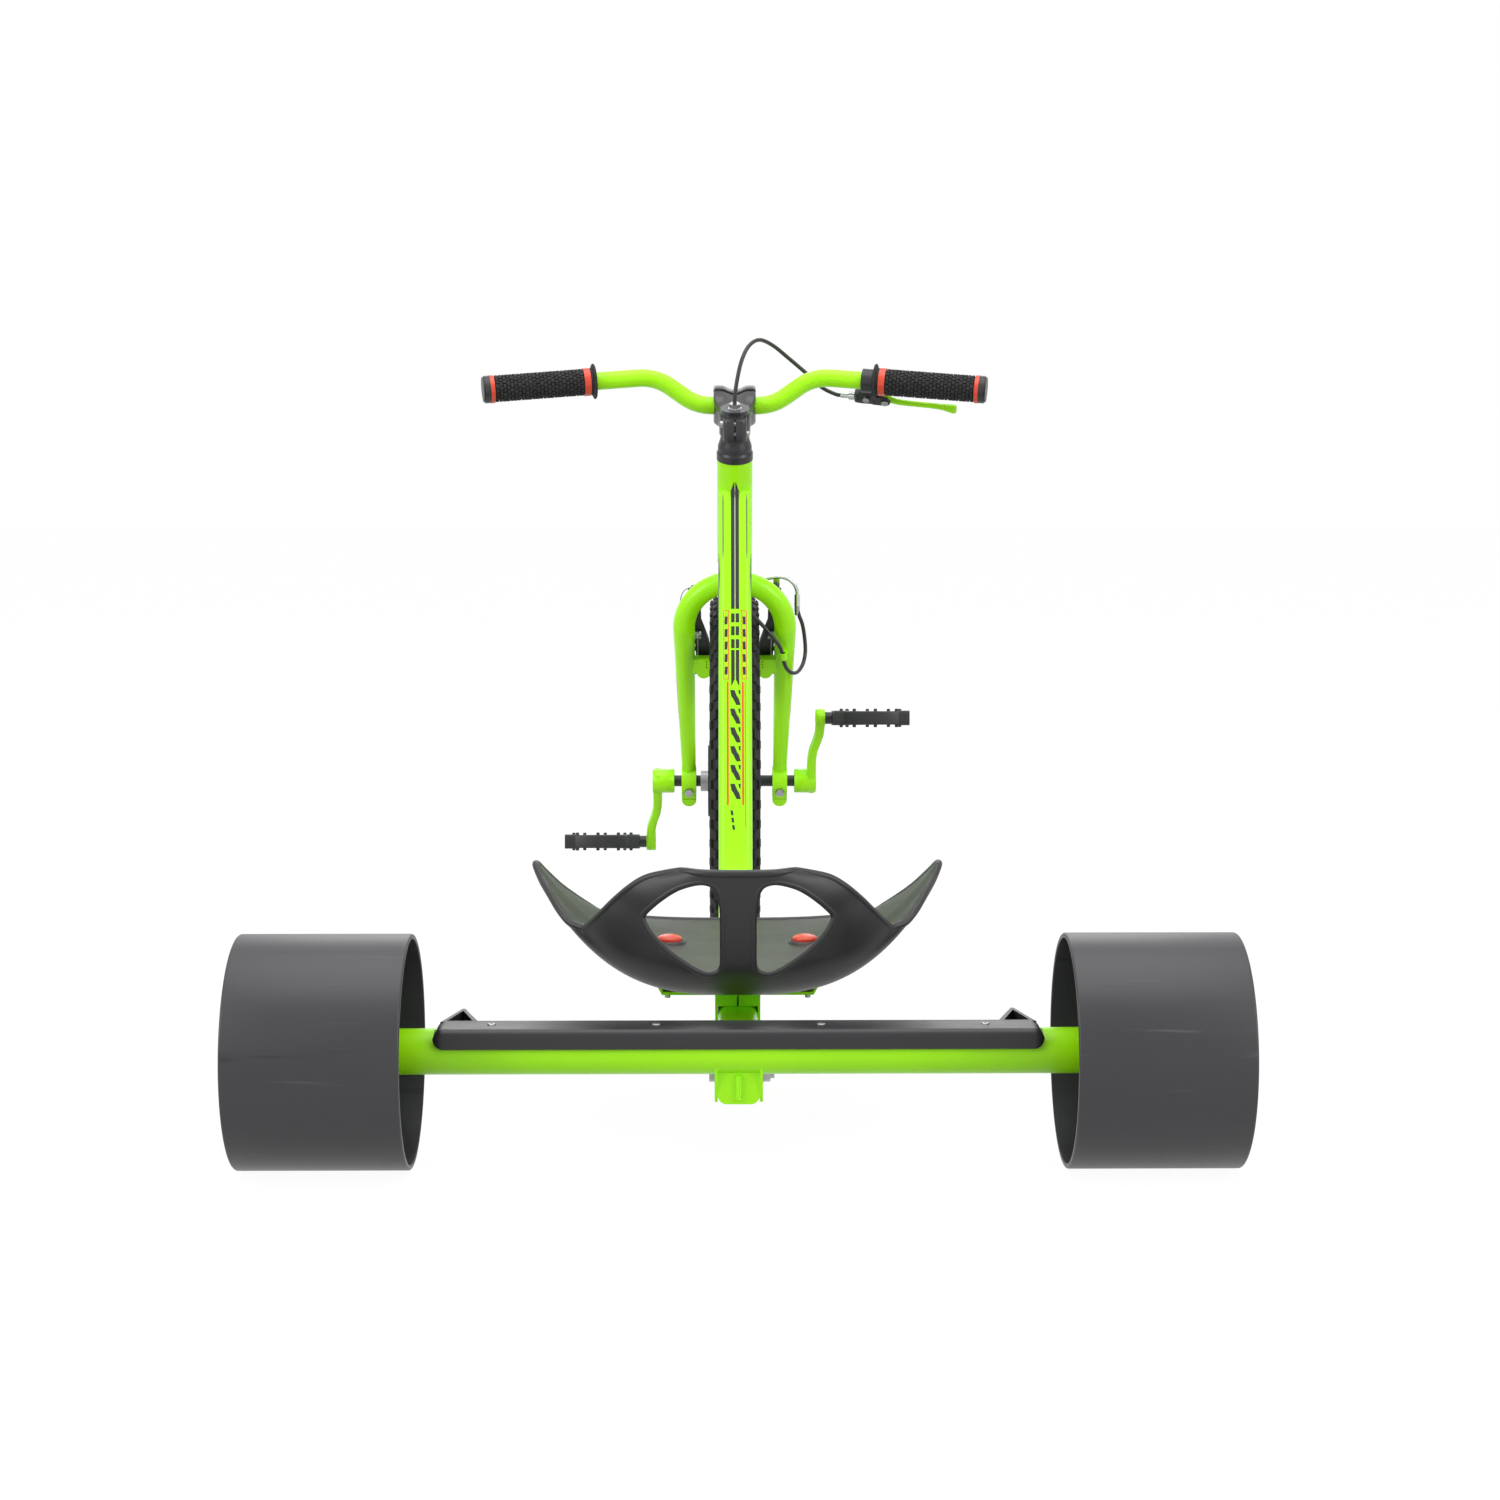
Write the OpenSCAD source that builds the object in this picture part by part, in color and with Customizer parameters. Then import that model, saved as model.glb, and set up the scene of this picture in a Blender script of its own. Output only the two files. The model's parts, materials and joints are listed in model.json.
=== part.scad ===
/* [Overall] */
// Distance from the rear axle to the front hub
wheelbase = 1000; // [960:5:1060]
// Outer radius of a rear drum
drum_r = 114.3; // [106:0.1:122]
// Outer radius of the front tyre
tyre_r = 254; // [252:1:260]
// Angle of the steering axis above the ground
head_angle = 69; // [67:0.5:71]
// How far the hub sits ahead of the steering axis
fork_offset = 35; // [30:1:38]

/* [Rear drums] */
// Width of one drum
drum_w = 168; // [150:1:190]
// Distance between the inner rims of the two drums
drum_gap = 634; // [620:2:660]
// Wall of the drum's barrel
drum_wall = 5; // [4:0.5:7]
// Round on the drum's outer edges
drum_edge = 4; // [2:0.5:4]
// Thickness of the web that carries the hub
drum_web = 8; // [6:1:12]
// Thickness of one radial rib
drum_rib = 4; // [3:0.5:6]
// Number of radial ribs
drum_ribs = 6; // [4:1:12]
// Radius of the drum's hub
drum_hub_r = 22; // [20:0.5:28]
// Length of the drum's hub
drum_hub_w = 60; // [54:1:70]
// Radius of the rear axle stubs
stub_r = 6; // [5:0.5:7]
// Outer radius of a drum bearing
drum_bearing_r = 16; // [14:0.5:17]
// Width of a drum bearing
drum_bearing_w = 10; // [8:1:12]

/* [Rear axle beam] */
// Outer radius of the beam
beam_r = 22.5; // [20:0.5:24]
// Wall of the beam's tube
beam_wall = 2.5; // [2:0.5:3]
// Gap between the beam's end and the drum's hub
beam_gap = 6; // [4:1:12]
// Radius of the axle's threaded ends
thread_r = 5; // [4:0.5:5.5]
// Length of the thread left free beyond the axle's nut
thread_len = 10; // [6:1:14]
// Thickness of the bracket's side plates
bracket_t = 3; // [2:0.5:4]
// How far the bracket reaches ahead of the axle
bracket_reach = 140; // [135:1:150]
// Radius of the through bolts
frame_bolt_r = 4; // [3:0.5:5]
// Distance between the two through bolts
frame_bolt_gap = 78; // [70:1:84]

/* [Main tube] */
// Width of the main tube
tube_w = 41; // [38:0.5:44]
// Depth of the main tube
tube_d = 56; // [52:1:60]
// Wall of the main tube
tube_wall = 2; // [1.5:0.5:3]
// Round on the main tube's corners
tube_corner = 9; // [6:0.5:12]
// How far the tail's centre lies below the rear axle
tail_drop = 22.3; // [20:0.1:24]
// Angle of the tube's rising part
tube_rise = 70; // [68:0.5:72]
// Radius of the bend along the tube's centre
bend_r = 180; // [160:5:200]
// Gap between the tube and the front tyre
tyre_gap = 19; // [14:1:24]

/* [Head tube and headset] */
// Outer radius of the head tube
head_r = 22; // [21.5:0.1:24]
// Gap between the front tyre and the head tube's lower end, along the axis
head_room = 81; // [79:1:86]
// Length of the head tube
head_len = 138; // [134:1:146]
// Radius of the steerer
steerer_r = 14.3; // [13:0.1:14.8]
// Radial running gap in every bearing
run_gap = 0.05; // [0.03:0.01:0.08]
// Outer radius of the headset bearings
head_bearing_r = 20; // [18.5:0.5:20.5]
// Height of the headset bearings
head_bearing_h = 7; // [5:0.5:9]
// Height of the headset cover
cover_h = 12; // [10:1:14]
// Height of the cone spacer
cone_h = 21; // [16:1:24]

/* [Fork] */
// Radius of the fork's tubes at the crown
leg_r = 14; // [12.5:0.5:15]
// Radius of the fork's legs at the ends
leg_end_r = 9; // [8:0.5:9.5]
// Radius of the crown's arch along the tube's centre
arch_r = 65; // [62:0.5:68]
// Half the distance between the middles of the fork ends
end_x = 60.5; // [59:0.5:63]
// Width of a fork end
end_w = 19.4; // [18:0.2:20]
// Radius of the spindle bearings
spindle_bearing_r = 13; // [12:0.5:14]

/* [Stem and handlebar] */
// Height of the steerer clamp
stem_h = 29; // [27:1:32]
// Reach of the bar clamp ahead of the steering axis
reach = 55; // [52:1:60]
// Width of the stem's bar clamp
stem_w = 53; // [50:1:56]
// Radius of the handlebar
bar_r = 11.1; // [10.5:0.1:11.6]
// Wall of the handlebar
bar_wall = 2; // [1.5:0.1:2.5]
// How much the bar is turned down where a grip slides on
grip_seat = 0.1; // [0.05:0.05:0.3]
// Height that the bar rises beside the stem
bar_rise = 34; // [28:1:44]
// Angle of the bar's rising bends
bar_kick = 35; // [30:1:42]
// Radius of the bar's bends
bar_bend = 60; // [50:1:70]
// Width of the handlebar from end to end
bar_width = 620; // [600:2:660]
// Backward sweep of the grips
bar_sweep = 11; // [6:1:14]
// Downward droop of the grips
bar_droop = 4.5; // [0:0.5:6]
// Length of a grip's ribbed sleeve
grip_len = 112; // [100:1:120]
// Outer radius of a grip
grip_r = 16.5; // [15:0.5:18]
// Radius of a grip's inner flange
flange_r = 22; // [20:0.5:24]

/* [Brake] */
// Distance from a brake pivot to the middle of the bike
pivot_x = 40; // [39:0.5:41]
// How far the brake pivots lie inside the rim's edge, along the steering axis
pivot_in = 31; // [29:1:33]
// Length of a brake arm from its pivot to its top
arm_len = 108; // [104:1:112]
// Gap between a pad and the rim
pad_gap = 1.5; // [1.3:0.1:2]
// Radius of the cable's casing
cable_r = 2.5; // [2:0.1:2.8]
// How far the lever's side of the bar lies below straight ahead, in degrees
lever_drop = 38; // [20:1:45]
// Length of the brake lever's blade
blade_len = 90; // [84:1:104]

/* [Front wheel] */
// Width of the front tyre
tyre_w = 64; // [58:1:66]
// Height of the tyre's tread
tread_h = 3; // [2:0.5:4]
// Outer radius of the rim
rim_r = 209; // [208:0.5:210]
// Depth of the rim
rim_d = 18; // [16:1:20]
// Width of the rim
rim_w = 28; // [26:0.5:30]
// Radius of a spoke
spoke_r = 1; // [0.8:0.1:1.3]
// Number of spokes on each side
spokes = 18; // [12:2:20]
// Radius of the hub's flanges
hub_flange_r = 29; // [26:1:32]
// Distance between the hub's flanges
hub_w = 44; // [40:1:48]
// Radius of the crank spindle
spindle_r = 7.5; // [6.5:0.5:8]
// Radius of the toothed drive disc
disc_r = 47.5; // [44:0.5:50]

/* [Cranks and pedals] */
// Length of a crank arm
crank_len = 102; // [92:1:110]
// Angle of the right crank behind the vertical
crank_angle = 29; // [0:1:60]
// Inner face of a crank's boss
boss_x = 80; // [78:1:84]
// Thickness of a crank arm
crank_t = 12.5; // [11:0.5:14]
// Outward step of the crank's end
crank_step = 10; // [6:1:14]
// Radius of a crank's boss
boss_r = 16; // [14:0.5:18]
// Width of a pedal
pedal_w = 100; // [90:1:110]
// Length of a pedal
pedal_l = 84; // [76:1:92]
// Height of a pedal's cage
pedal_h = 17; // [15:1:20]
// Radius of a pedal spindle
pedal_pin_r = 5; // [4:0.5:6]

/* [Seat] */
// Half width of the seat across its wings
wing_x = 209; // [200:1:220]
// Rise of the wing tips above the pan
wing_rise = 105; // [90:1:115]
// Thickness of the seat's shell
shell_t = 5; // [4:0.5:6]
// Distance from the rear axle to the seat's lowest point
pan_back = 112; // [108:1:120]
// Length of the pan ahead of that point
pan_len = 273; // [260:1:285]
// Tilt of the pan
pan_tilt = 4.8; // [3:0.1:6]
// Height of the seat's lowest inner point above the rear axle
pan_lift = 38; // [36:1:44]
// Height of the back above the seat's lowest inner point
back_h = 129; // [120:1:140]
// Radius of the curve from the pan to the back
back_curve = 46; // [40:1:50]
// Backward lean of the back
back_lean = 11; // [8:0.5:14]
// Half the distance between the seat bolts across
bolt_x = 73; // [68:1:76]
// Distance from the rear axle to the front pair of seat bolts
bolt_front = 285; // [280:1:292]
// Distance between the front and rear pairs of seat bolts
bolt_gap = 100; // [90:1:110]
// Width of the seat plate
plate_w = 167; // [160:1:180]
// Thickness of the seat plate
plate_t = 3; // [2:0.5:4]
// Height of the clamp block between the tube and the seat plate
post_h = 17.5; // [16:0.5:20]
// Length of the clamp along the tube
clamp_len = 110; // [100:1:120]
// Sliding gap between the clamp and the tube
slide_gap = 0.3; // [0.2:0.1:0.5]

/* [Pad on the beam] */
// Half length of the pad
pad_half = 295; // [280:1:300]
// Height of the pad's top above the beam
pad_top = 12; // [10:1:14]
// How far the pad hangs down behind the beam
pad_lip = 28; // [24:1:30]
// Wall of the pad
pad_wall = 3.5; // [3:0.5:4.5]

/* [Hidden] */
$fn = 48;
length = wheelbase + drum_r + tyre_r;
rear_y = drum_r - length / 2;
hub_y = length / 2 - tyre_r;
tilt = 90 - head_angle;
axis_up = [0, -sin(tilt), cos(tilt)];
axis_fore = [0, cos(tilt), sin(tilt)];
head_at = [0, hub_y, tyre_r] - fork_offset * axis_fore;
tail_h = drum_r - tail_drop;
tail_top = tail_h + tube_d / 2;
rise_at = [hub_y, tyre_r] + (tyre_r + tyre_gap + tube_d / 2) * [-sin(tube_rise), cos(tube_rise)];
bend_top_h = tail_h + bend_r * (1 - cos(tube_rise));
bend_top_y = rise_at[0] + (bend_top_h - rise_at[1]) / tan(tube_rise);
bend_y = bend_top_y - bend_r * sin(tube_rise);
drum_in = drum_gap / 2;
drum_mid = drum_in + drum_w / 2;
head_low = tyre_r + head_room;
head_top = head_low + head_len;
stem_low = head_top + cover_h + cone_h;
stem_top = stem_low + stem_h;
clamp_t = stem_low + 17;
bar_at = head_at + reach * axis_fore + clamp_t * axis_up;
crown_t = head_low - 29;
knee_t = crown_t - arch_r;
pivot_t = rim_r - pivot_in;
end_drop = 32;
spindle_half = boss_x + 29;
pedal_in = boss_x + 48;
rear_plate_y = rear_y + bolt_front - bolt_gap - 32;
plate_len = bolt_gap + 64;
plate_h = tail_top + 0.3 + post_h;
clamp_y = rear_y + bolt_front - bolt_gap / 2 - clamp_len / 2;
grip_stack = [7, 5, grip_len, 8, 7];
web_inset = 30;
web_out = drum_w / 2 - web_inset + drum_web;
stub_in = drum_mid - drum_hub_w / 2 - beam_gap;
axle_nut_h = 11;
nut_out = drum_mid + web_out + axle_nut_h;
bolt_back = 38;
bolt_h = tail_h - 10;
screw_places = [-240, -80, 80, 240];

// Places

module at_rear() {
    translate([0, rear_y, drum_r]) children();
}

module at_head() {
    translate(head_at) rotate([tilt, 0, 0]) children();
}

module at_hub() {
    at_head() translate([0, fork_offset, 0]) children();
}

module at_bar() {
    translate(bar_at) children();
}

module both() {
    children();
    mirror([1, 0, 0]) children();
}

// Shared shapes

module along_x(from, to, r) {
    translate([from, 0, 0]) rotate([0, 90, 0]) cylinder(h = to - from, r = r);
}

module along_y(from, to, r) {
    translate([0, to, 0]) rotate([90, 0, 0]) cylinder(h = to - from, r = r);
}

module ring(r_out, r_in, h) {
    rotate_extrude() translate([r_in, 0]) square([r_out - r_in, h]);
}

module hexagon(across, h) {
    cylinder(h = h, r = across / sqrt(3), $fn = 6);
}

// A bent pipe: it starts at the origin along +Z, turns towards +X, and its children go on from its end
module bend(bend_radius, angle, rod_r, bore_r = 0) {
    translate([bend_radius, 0, 0]) rotate([90, 0, 180])
        rotate_extrude(angle = angle) translate([bend_radius, 0]) difference() {
            circle(rod_r);
            if (bore_r > 0) circle(bore_r);
        }
    translate([bend_radius * (1 - cos(angle)), 0, bend_radius * sin(angle)])
        rotate([0, angle, 0]) children();
}

// Smooth route through points, as a Catmull-Rom spline with steps points in each stretch
function spline_point(p, i, u) =
    let (
        a = p[max(i - 1, 0)],
        b = p[i],
        c = p[i + 1],
        d = p[min(i + 2, len(p) - 1)]
    )
    0.5 * (2 * b + (c - a) * u + (2 * a - 5 * b + 4 * c - d) * u * u
        + (3 * b - a - 3 * c + d) * u * u * u);

function spline(p, steps) = concat(
    [for (i = [0 : len(p) - 2]) for (k = [0 : steps - 1]) spline_point(p, i, k / steps)],
    [p[len(p) - 1]]
);

function unit(v) = v / norm(v);

function tangent(path, i) = unit(path[min(i + 1, len(path) - 1)] - path[max(i - 1, 0)]);

// Frames carried along a path without twist
function frames(path, i, side) =
    let (
        t = tangent(path, i),
        s = unit(side - (side * t) * t)
    )
    i == len(path) - 1 ? [[s, cross(t, s)]] : concat([[s, cross(t, s)]], frames(path, i + 1, s));

module sweep(path, r, sides, side) {
    turned = frames(path, 0, side);
    rings = len(path);
    points = [
        for (i = [0 : rings - 1]) for (k = [0 : sides - 1])
            path[i] + r * (cos(k * 360 / sides) * turned[i][0] + sin(k * 360 / sides) * turned[i][1])
    ];
    start = [[for (k = [0 : sides - 1]) k]];
    finish = [[for (k = [sides - 1 : -1 : 0]) (rings - 1) * sides + k]];
    walls = [
        for (i = [0 : rings - 2]) for (k = [0 : sides - 1])
            let (a = i * sides + k, b = i * sides + (k + 1) % sides)
            for (face = [[a, a + sides, b], [b, a + sides, b + sides]]) face
    ];
    polyhedron(points, concat(start, walls, finish));
}

// Main frame

module tube_section(inset) {
    offset(r = tube_corner - inset) square(
        [tube_w - 2 * tube_corner, tube_d - 2 * tube_corner], center = true, $fn = 24);
}

module tube_wall_section(thinned = 0) {
    difference() {
        tube_section(thinned);
        tube_section(tube_wall - thinned);
    }
}

module main_frame() color("greenyellow") {
    tail_back = 12;
    lap = 1;
    difference() {
        union() {
            difference() {
                translate([0, rear_y - tail_back, tail_h]) rotate([-90, 0, 0])
                    linear_extrude(bend_y - rear_y + tail_back + lap) tube_wall_section();
                at_rear() along_x(-tube_w, tube_w, beam_r);
                for (k = [0, 1]) translate([0, rear_y + bolt_back + k * frame_bolt_gap, bolt_h])
                    along_x(-tube_w, tube_w, frame_bolt_r);
            }
            // A cap closes the tail below the beam
            difference() {
                translate([0, rear_y - tail_back, tail_h]) rotate([-90, 0, 0])
                    linear_extrude(tube_wall) tube_section(tube_wall);
                at_rear() along_x(-tube_w, tube_w, beam_r);
            }
            // The bend is drawn down a little, and the straight lengths lap over it
            translate([0, bend_y, tail_h + bend_r]) rotate([0, 90, 0])
                rotate_extrude(angle = tube_rise) translate([bend_r, 0]) rotate(90) tube_wall_section(0.1);
            // The rising part ends at the middle of the head tube, below its top
            difference() {
                translate([0, bend_top_y, bend_top_h]) rotate([tube_rise - 90, 0, 0])
                    translate([0, 0, -lap]) linear_extrude(length / 2) tube_wall_section();
                at_head() translate([-tube_w, 0, 0]) cube([2 * tube_w, length, length]);
                at_head() translate([-tube_w, -length / 2, head_top - 35]) cube([2 * tube_w, length, length]);
            }
            at_head() translate([0, 0, head_low]) cylinder(h = head_len, r = head_r);
        }
        at_head() translate([0, 0, head_low - 1]) cylinder(h = head_len + 2, r = steerer_r + 2.5);
        for (end = [head_low - 1, head_top - head_bearing_h])
            at_head() translate([0, 0, end]) cylinder(h = head_bearing_h + 1, r = head_bearing_r);
    }
}

// Rear axle frame

module rear_axle_frame() color("greenyellow") {
    at_rear() {
        difference() {
            along_x(-stub_in, stub_in, beam_r);
            both() along_x(12, stub_in - 6, beam_r - beam_wall);
            // Pilot holes for the pad's screws
            for (x = screw_places) translate([x, 0, 0]) cylinder(h = beam_r + 1, r = 2);
        }
        both() along_x(stub_in, nut_out, stub_r);
        both() along_x(nut_out, nut_out + thread_len, thread_r);
        both() along_x(stub_in, drum_mid - drum_hub_w / 2, stub_r + 4);
    }
    both() difference() {
        translate([tube_w / 2, 0, 0]) rotate([90, 0, 90]) linear_extrude(bracket_t) polygon([
            [rear_y - 10, tail_h - tube_d / 2 + 2],
            [rear_y + bracket_reach - 12, tail_h - tube_d / 2 + 2],
            [rear_y + bracket_reach, tail_h - tube_d / 2 + 14],
            [rear_y + bracket_reach, tail_h + 4],
            [rear_y + 30, tail_top - 2],
            [rear_y, drum_r],
            [rear_y - beam_r + 4, drum_r - 10],
        ]);
        for (k = [0, 1]) translate([0, rear_y + bolt_back + k * frame_bolt_gap, bolt_h])
            along_x(0, tube_w, frame_bolt_r);
        at_rear() along_x(0, tube_w, beam_r - 1);
    }
}

module frame_bolts() color("silver") {
    for (k = [0, 1]) translate([0, rear_y + bolt_back + k * frame_bolt_gap, bolt_h]) {
        along_x(-tube_w / 2 - bracket_t, tube_w / 2 + bracket_t + 12, frame_bolt_r - 0.1);
        translate([-tube_w / 2 - bracket_t, 0, 0]) rotate([0, -90, 0]) hexagon(13, 5.5);
    }
}

module frame_nuts() color("silver") {
    for (k = [0, 1]) translate([tube_w / 2 + bracket_t, rear_y + bolt_back + k * frame_bolt_gap, bolt_h])
        rotate([0, 90, 0]) difference() {
            union() {
                cylinder(h = 1.5, r = 8);
                translate([0, 0, 1.5]) hexagon(13, 6.5);
            }
            translate([0, 0, -1]) cylinder(h = 12, r = frame_bolt_r - 0.05);
        }
}

// Pad on the beam

module pad_profile() {
    top = beam_r + pad_top;
    back = beam_r + pad_wall;
    front = beam_r + pad_wall - 2;
    low = top - pad_lip;
    polygon(concat(
        [[-back, low + 3], [-back + 2, low], [-beam_r + 4, low]],
        [[front - 5, 6], [front, 6], [front, top - 8], [front - 8, top]],
        [for (a = [0 : 30 : 90]) [-back + 8 - 8 * sin(a), top - 8 + 8 * cos(a)]]
    ));
}

module axle_pad() color("dimgray") {
    at_rear() difference() {
        union() {
            rotate([90, 0, 90]) translate([0, 0, -pad_half]) linear_extrude(2 * pad_half) pad_profile();
            // Raised foot stops near both ends
            both() translate([pad_half - 25, 0, 0]) rotate([90, 0, 90]) translate([0, 0, -18])
                linear_extrude(36) polygon([
                    [beam_r - 6, 10], [beam_r + 40, beam_r + 2], [beam_r + 44, beam_r + 5],
                    [beam_r + 40, beam_r + 8], [beam_r - 6, beam_r + pad_top],
                ]);
        }
        along_x(-pad_half - 1, pad_half + 1, beam_r);
        for (x = screw_places) translate([x, 0, beam_r - 4]) cylinder(h = pad_top + 6, r = 2.2);
        for (x = screw_places) translate([x, 0, beam_r + pad_top - 3]) cylinder(h = 6, r = 4.5);
        both() translate([pad_half - 25, beam_r + 12, beam_r - 30]) rotate([0, 0, 90])
            cylinder(h = 60, r = 8, $fn = 3);
    }
}

module pad_screws() color("silver") {
    at_rear() for (x = screw_places) translate([x, 0, 0]) {
        translate([0, 0, beam_r - 3]) cylinder(h = pad_top - 0.5, r = 1.95);
        translate([0, 0, beam_r + pad_top - 3]) cylinder(h = 2.5, r = 4);
    }
}

// Headset

module headset_bearings() color("dimgray") {
    for (end = [head_low, head_top - head_bearing_h])
        at_head() translate([0, 0, end]) ring(head_bearing_r, steerer_r + run_gap, head_bearing_h);
}

module headset_cover() color("black") {
    at_head() translate([0, 0, head_top + 0.4]) difference() {
        union() {
            cylinder(h = cover_h - 3.4, r = head_r + 0.6);
            translate([0, 0, cover_h - 3.4]) cylinder(h = 3, r1 = head_r + 0.6, r2 = head_r - 1);
        }
        translate([0, 0, -1]) cylinder(h = cover_h + 2, r = steerer_r);
    }
}

module headset_spacer() color("black") {
    at_head() translate([0, 0, head_top + cover_h]) difference() {
        cylinder(h = cone_h, r1 = head_r - 1, r2 = steerer_r + 3.7);
        translate([0, 0, -1]) cylinder(h = cone_h + 2, r = steerer_r);
    }
}

// Rear drums

module rear_drum() {
    hub_in = -drum_hub_w / 2;
    barrel = drum_r - drum_wall;
    rotate([0, 90, 0]) difference() {
        union() {
            // Barrel with rounded edges and a closed web near the outer side
            rotate_extrude() polygon(concat(
                [[drum_hub_r, web_out - drum_web], [barrel, web_out - drum_web], [barrel, -drum_w / 2]],
                [for (a = [0 : 15 : 90]) [
                    drum_r - drum_edge + drum_edge * sin(a), -drum_w / 2 + drum_edge - drum_edge * cos(a)]],
                [for (a = [0 : 15 : 90]) [
                    drum_r - drum_edge + drum_edge * cos(a), drum_w / 2 - drum_edge + drum_edge * sin(a)]],
                [[barrel, drum_w / 2], [barrel, web_out], [drum_hub_r, web_out]]
            ));
            translate([0, 0, hub_in]) cylinder(h = web_out - hub_in, r = drum_hub_r);
            for (k = [0 : drum_ribs - 1]) rotate([0, 0, k * 360 / drum_ribs])
                translate([drum_hub_r - 2, -drum_rib / 2, hub_in + 4])
                    cube([barrel - drum_hub_r + 3, drum_rib, web_out - drum_web - hub_in - 3]);
        }
        translate([0, 0, -drum_w]) cylinder(h = 2 * drum_w, r = stub_r + 2);
        for (end = [hub_in - 1, web_out - drum_bearing_w])
            translate([0, 0, end]) cylinder(h = drum_bearing_w + 1, r = drum_bearing_r + run_gap);
    }
}

module drum_bearing_pair() {
    for (end = [-drum_hub_w / 2, web_out - drum_bearing_w])
        rotate([0, 90, 0]) translate([0, 0, end]) ring(drum_bearing_r, stub_r, drum_bearing_w);
}

module left_rear_drum() color("dimgray") at_rear() mirror([1, 0, 0]) translate([drum_mid, 0, 0]) rear_drum();

module right_rear_drum() color("dimgray") at_rear() translate([drum_mid, 0, 0]) rear_drum();

module drum_bearings() color("silver") at_rear() both() translate([drum_mid, 0, 0]) drum_bearing_pair();

module axle_nuts() color("silver") {
    at_rear() both() translate([drum_mid + web_out, 0, 0]) rotate([0, 90, 0]) difference() {
        union() {
            cylinder(h = 2, r = stub_r + 3.5);
            translate([0, 0, 2]) hexagon(3 * stub_r, axle_nut_h - 2);
        }
        translate([0, 0, -1]) cylinder(h = axle_nut_h + 2, r = stub_r);
    }
}

// Seat: a shell whose rows run from the front edge, over the pan and up the back

turn_angle = 90 + pan_tilt - back_lean;
curve_len = back_curve * turn_angle * PI / 180;
back_len = (back_h - back_curve + back_curve * sin(back_lean)) / cos(back_lean);
seat_len = pan_len + curve_len + back_len;
curve_at = [pan_back, pan_lift + back_curve];
pan_dir = [-cos(pan_tilt), -sin(pan_tilt)];
back_dir = [-sin(back_lean), cos(back_lean)];
pan_end = curve_at + back_curve * [sin(pan_tilt), -cos(pan_tilt)];
back_start = curve_at - back_curve * [cos(back_lean), sin(back_lean)];

// Centre line of the seat's inner face, as distance from the axle and height above it
function seat_line(u) =
    u <= pan_len ? pan_end - (pan_len - u) * pan_dir
    : u >= pan_len + curve_len ? back_start + (u - pan_len - curve_len) * back_dir
    : let (a = pan_tilt - (u - pan_len) / back_curve * 180 / PI)
        curve_at + back_curve * [sin(a), -cos(a)];

// Rim of the seat: half width, distance from the axle, height above the lowest point
seat_rim = [
    [0, [wing_x - 81, 378, 30]],
    [10, [wing_x - 63, 370, 34]],
    [40, [wing_x - 47, 345, 48]],
    [90, [wing_x - 21, 298, wing_rise - 29]],
    [130, [wing_x - 6, 258, wing_rise - 6]],
    [165, [wing_x, 222, wing_rise + 8]],
    [200, [wing_x - 7, 196, wing_rise - 3]],
    [240, [wing_x - 19, 165, wing_rise - 16]],
    [275, [wing_x - 31, 143, 75]],
    [300, [wing_x - 43, 132, 64]],
    [320, [wing_x - 54, 125, 61]],
    [345, [wing_x - 64, 114, 69]],
    [365, [wing_x - 76, 103, 82]],
    [385, [wing_x - 89, 94, back_h - 33]],
    [405, [wing_x - 103, 84, back_h - 20]],
    [420, [wing_x - 119, 77, back_h - 10]],
    [430, [wing_x - 135, 71, back_h - 6]],
    [440, [wing_x - 152, 66, back_h - 3]],
];

function rim_value(u, k) = lookup(u, [for (row = seat_rim) [row[0], row[1][k]]]);

function seat_point(u, w) =
    let (
        share = u / seat_len * 440,
        line = seat_line(u),
        rim = [rim_value(share, 1) + pan_back - 112, rim_value(share, 2) + pan_lift],
        rise = pow(abs(w), 3)
    )
    [w * rim_value(share, 0), line[0] + (rim[0] - line[0]) * rise, line[1] + (rim[1] - line[1]) * rise];

function seat_normal(u, w) =
    let (
        du = seat_point(min(u + 2, seat_len), w) - seat_point(max(u - 2, 0), w),
        dw = seat_point(u, min(w + 0.02, 1)) - seat_point(u, max(w - 0.02, -1))
    )
    unit(cross(du, dw));

function pan_h(y) = pan_end[1] + (y - pan_end[0]) * tan(pan_tilt);

seat_rows = [
    for (u = [0, 8, 20, 40, 65, 90, 115, 140, 165, 185, 205, 225, 245, 265]) u / 273 * pan_len,
    for (k = [0 : 5]) pan_len + (k + 0.5) / 6 * curve_len,
    for (k = [0 : 6]) seat_len - back_len * (1 - pow(k / 6, 0.8)),
];
seat_steps = [for (j = [-10 : 10]) sign(j) * pow(abs(j) / 10, 0.85)];

module seat_skin() {
    rows = len(seat_rows);
    cols = len(seat_steps);
    inner = [for (u = seat_rows) for (w = seat_steps) seat_point(u, w)];
    outer = [for (u = seat_rows) for (w = seat_steps) seat_point(u, w) - shell_t * seat_normal(u, w)];
    n = rows * cols;
    edge = concat(
        [for (j = [0 : cols - 2]) j],
        [for (i = [0 : rows - 2]) i * cols + cols - 1],
        [for (j = [cols - 1 : -1 : 1]) (rows - 1) * cols + j],
        [for (i = [rows - 1 : -1 : 1]) i * cols]
    );
    faces = [
        for (i = [0 : rows - 2]) for (j = [0 : cols - 2])
            let (a = i * cols + j, b = a + 1, c = a + cols, d = c + 1)
            for (f = [[a, b, c], [b, d, c], [a + n, c + n, b + n], [b + n, c + n, d + n]]) f,
        for (k = [0 : len(edge) - 1])
            let (a = edge[k], b = edge[(k + 1) % len(edge)])
            for (f = [[a, a + n, b], [b, a + n, b + n]]) f,
    ];
    polyhedron(concat(inner, outer), faces);
}

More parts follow.
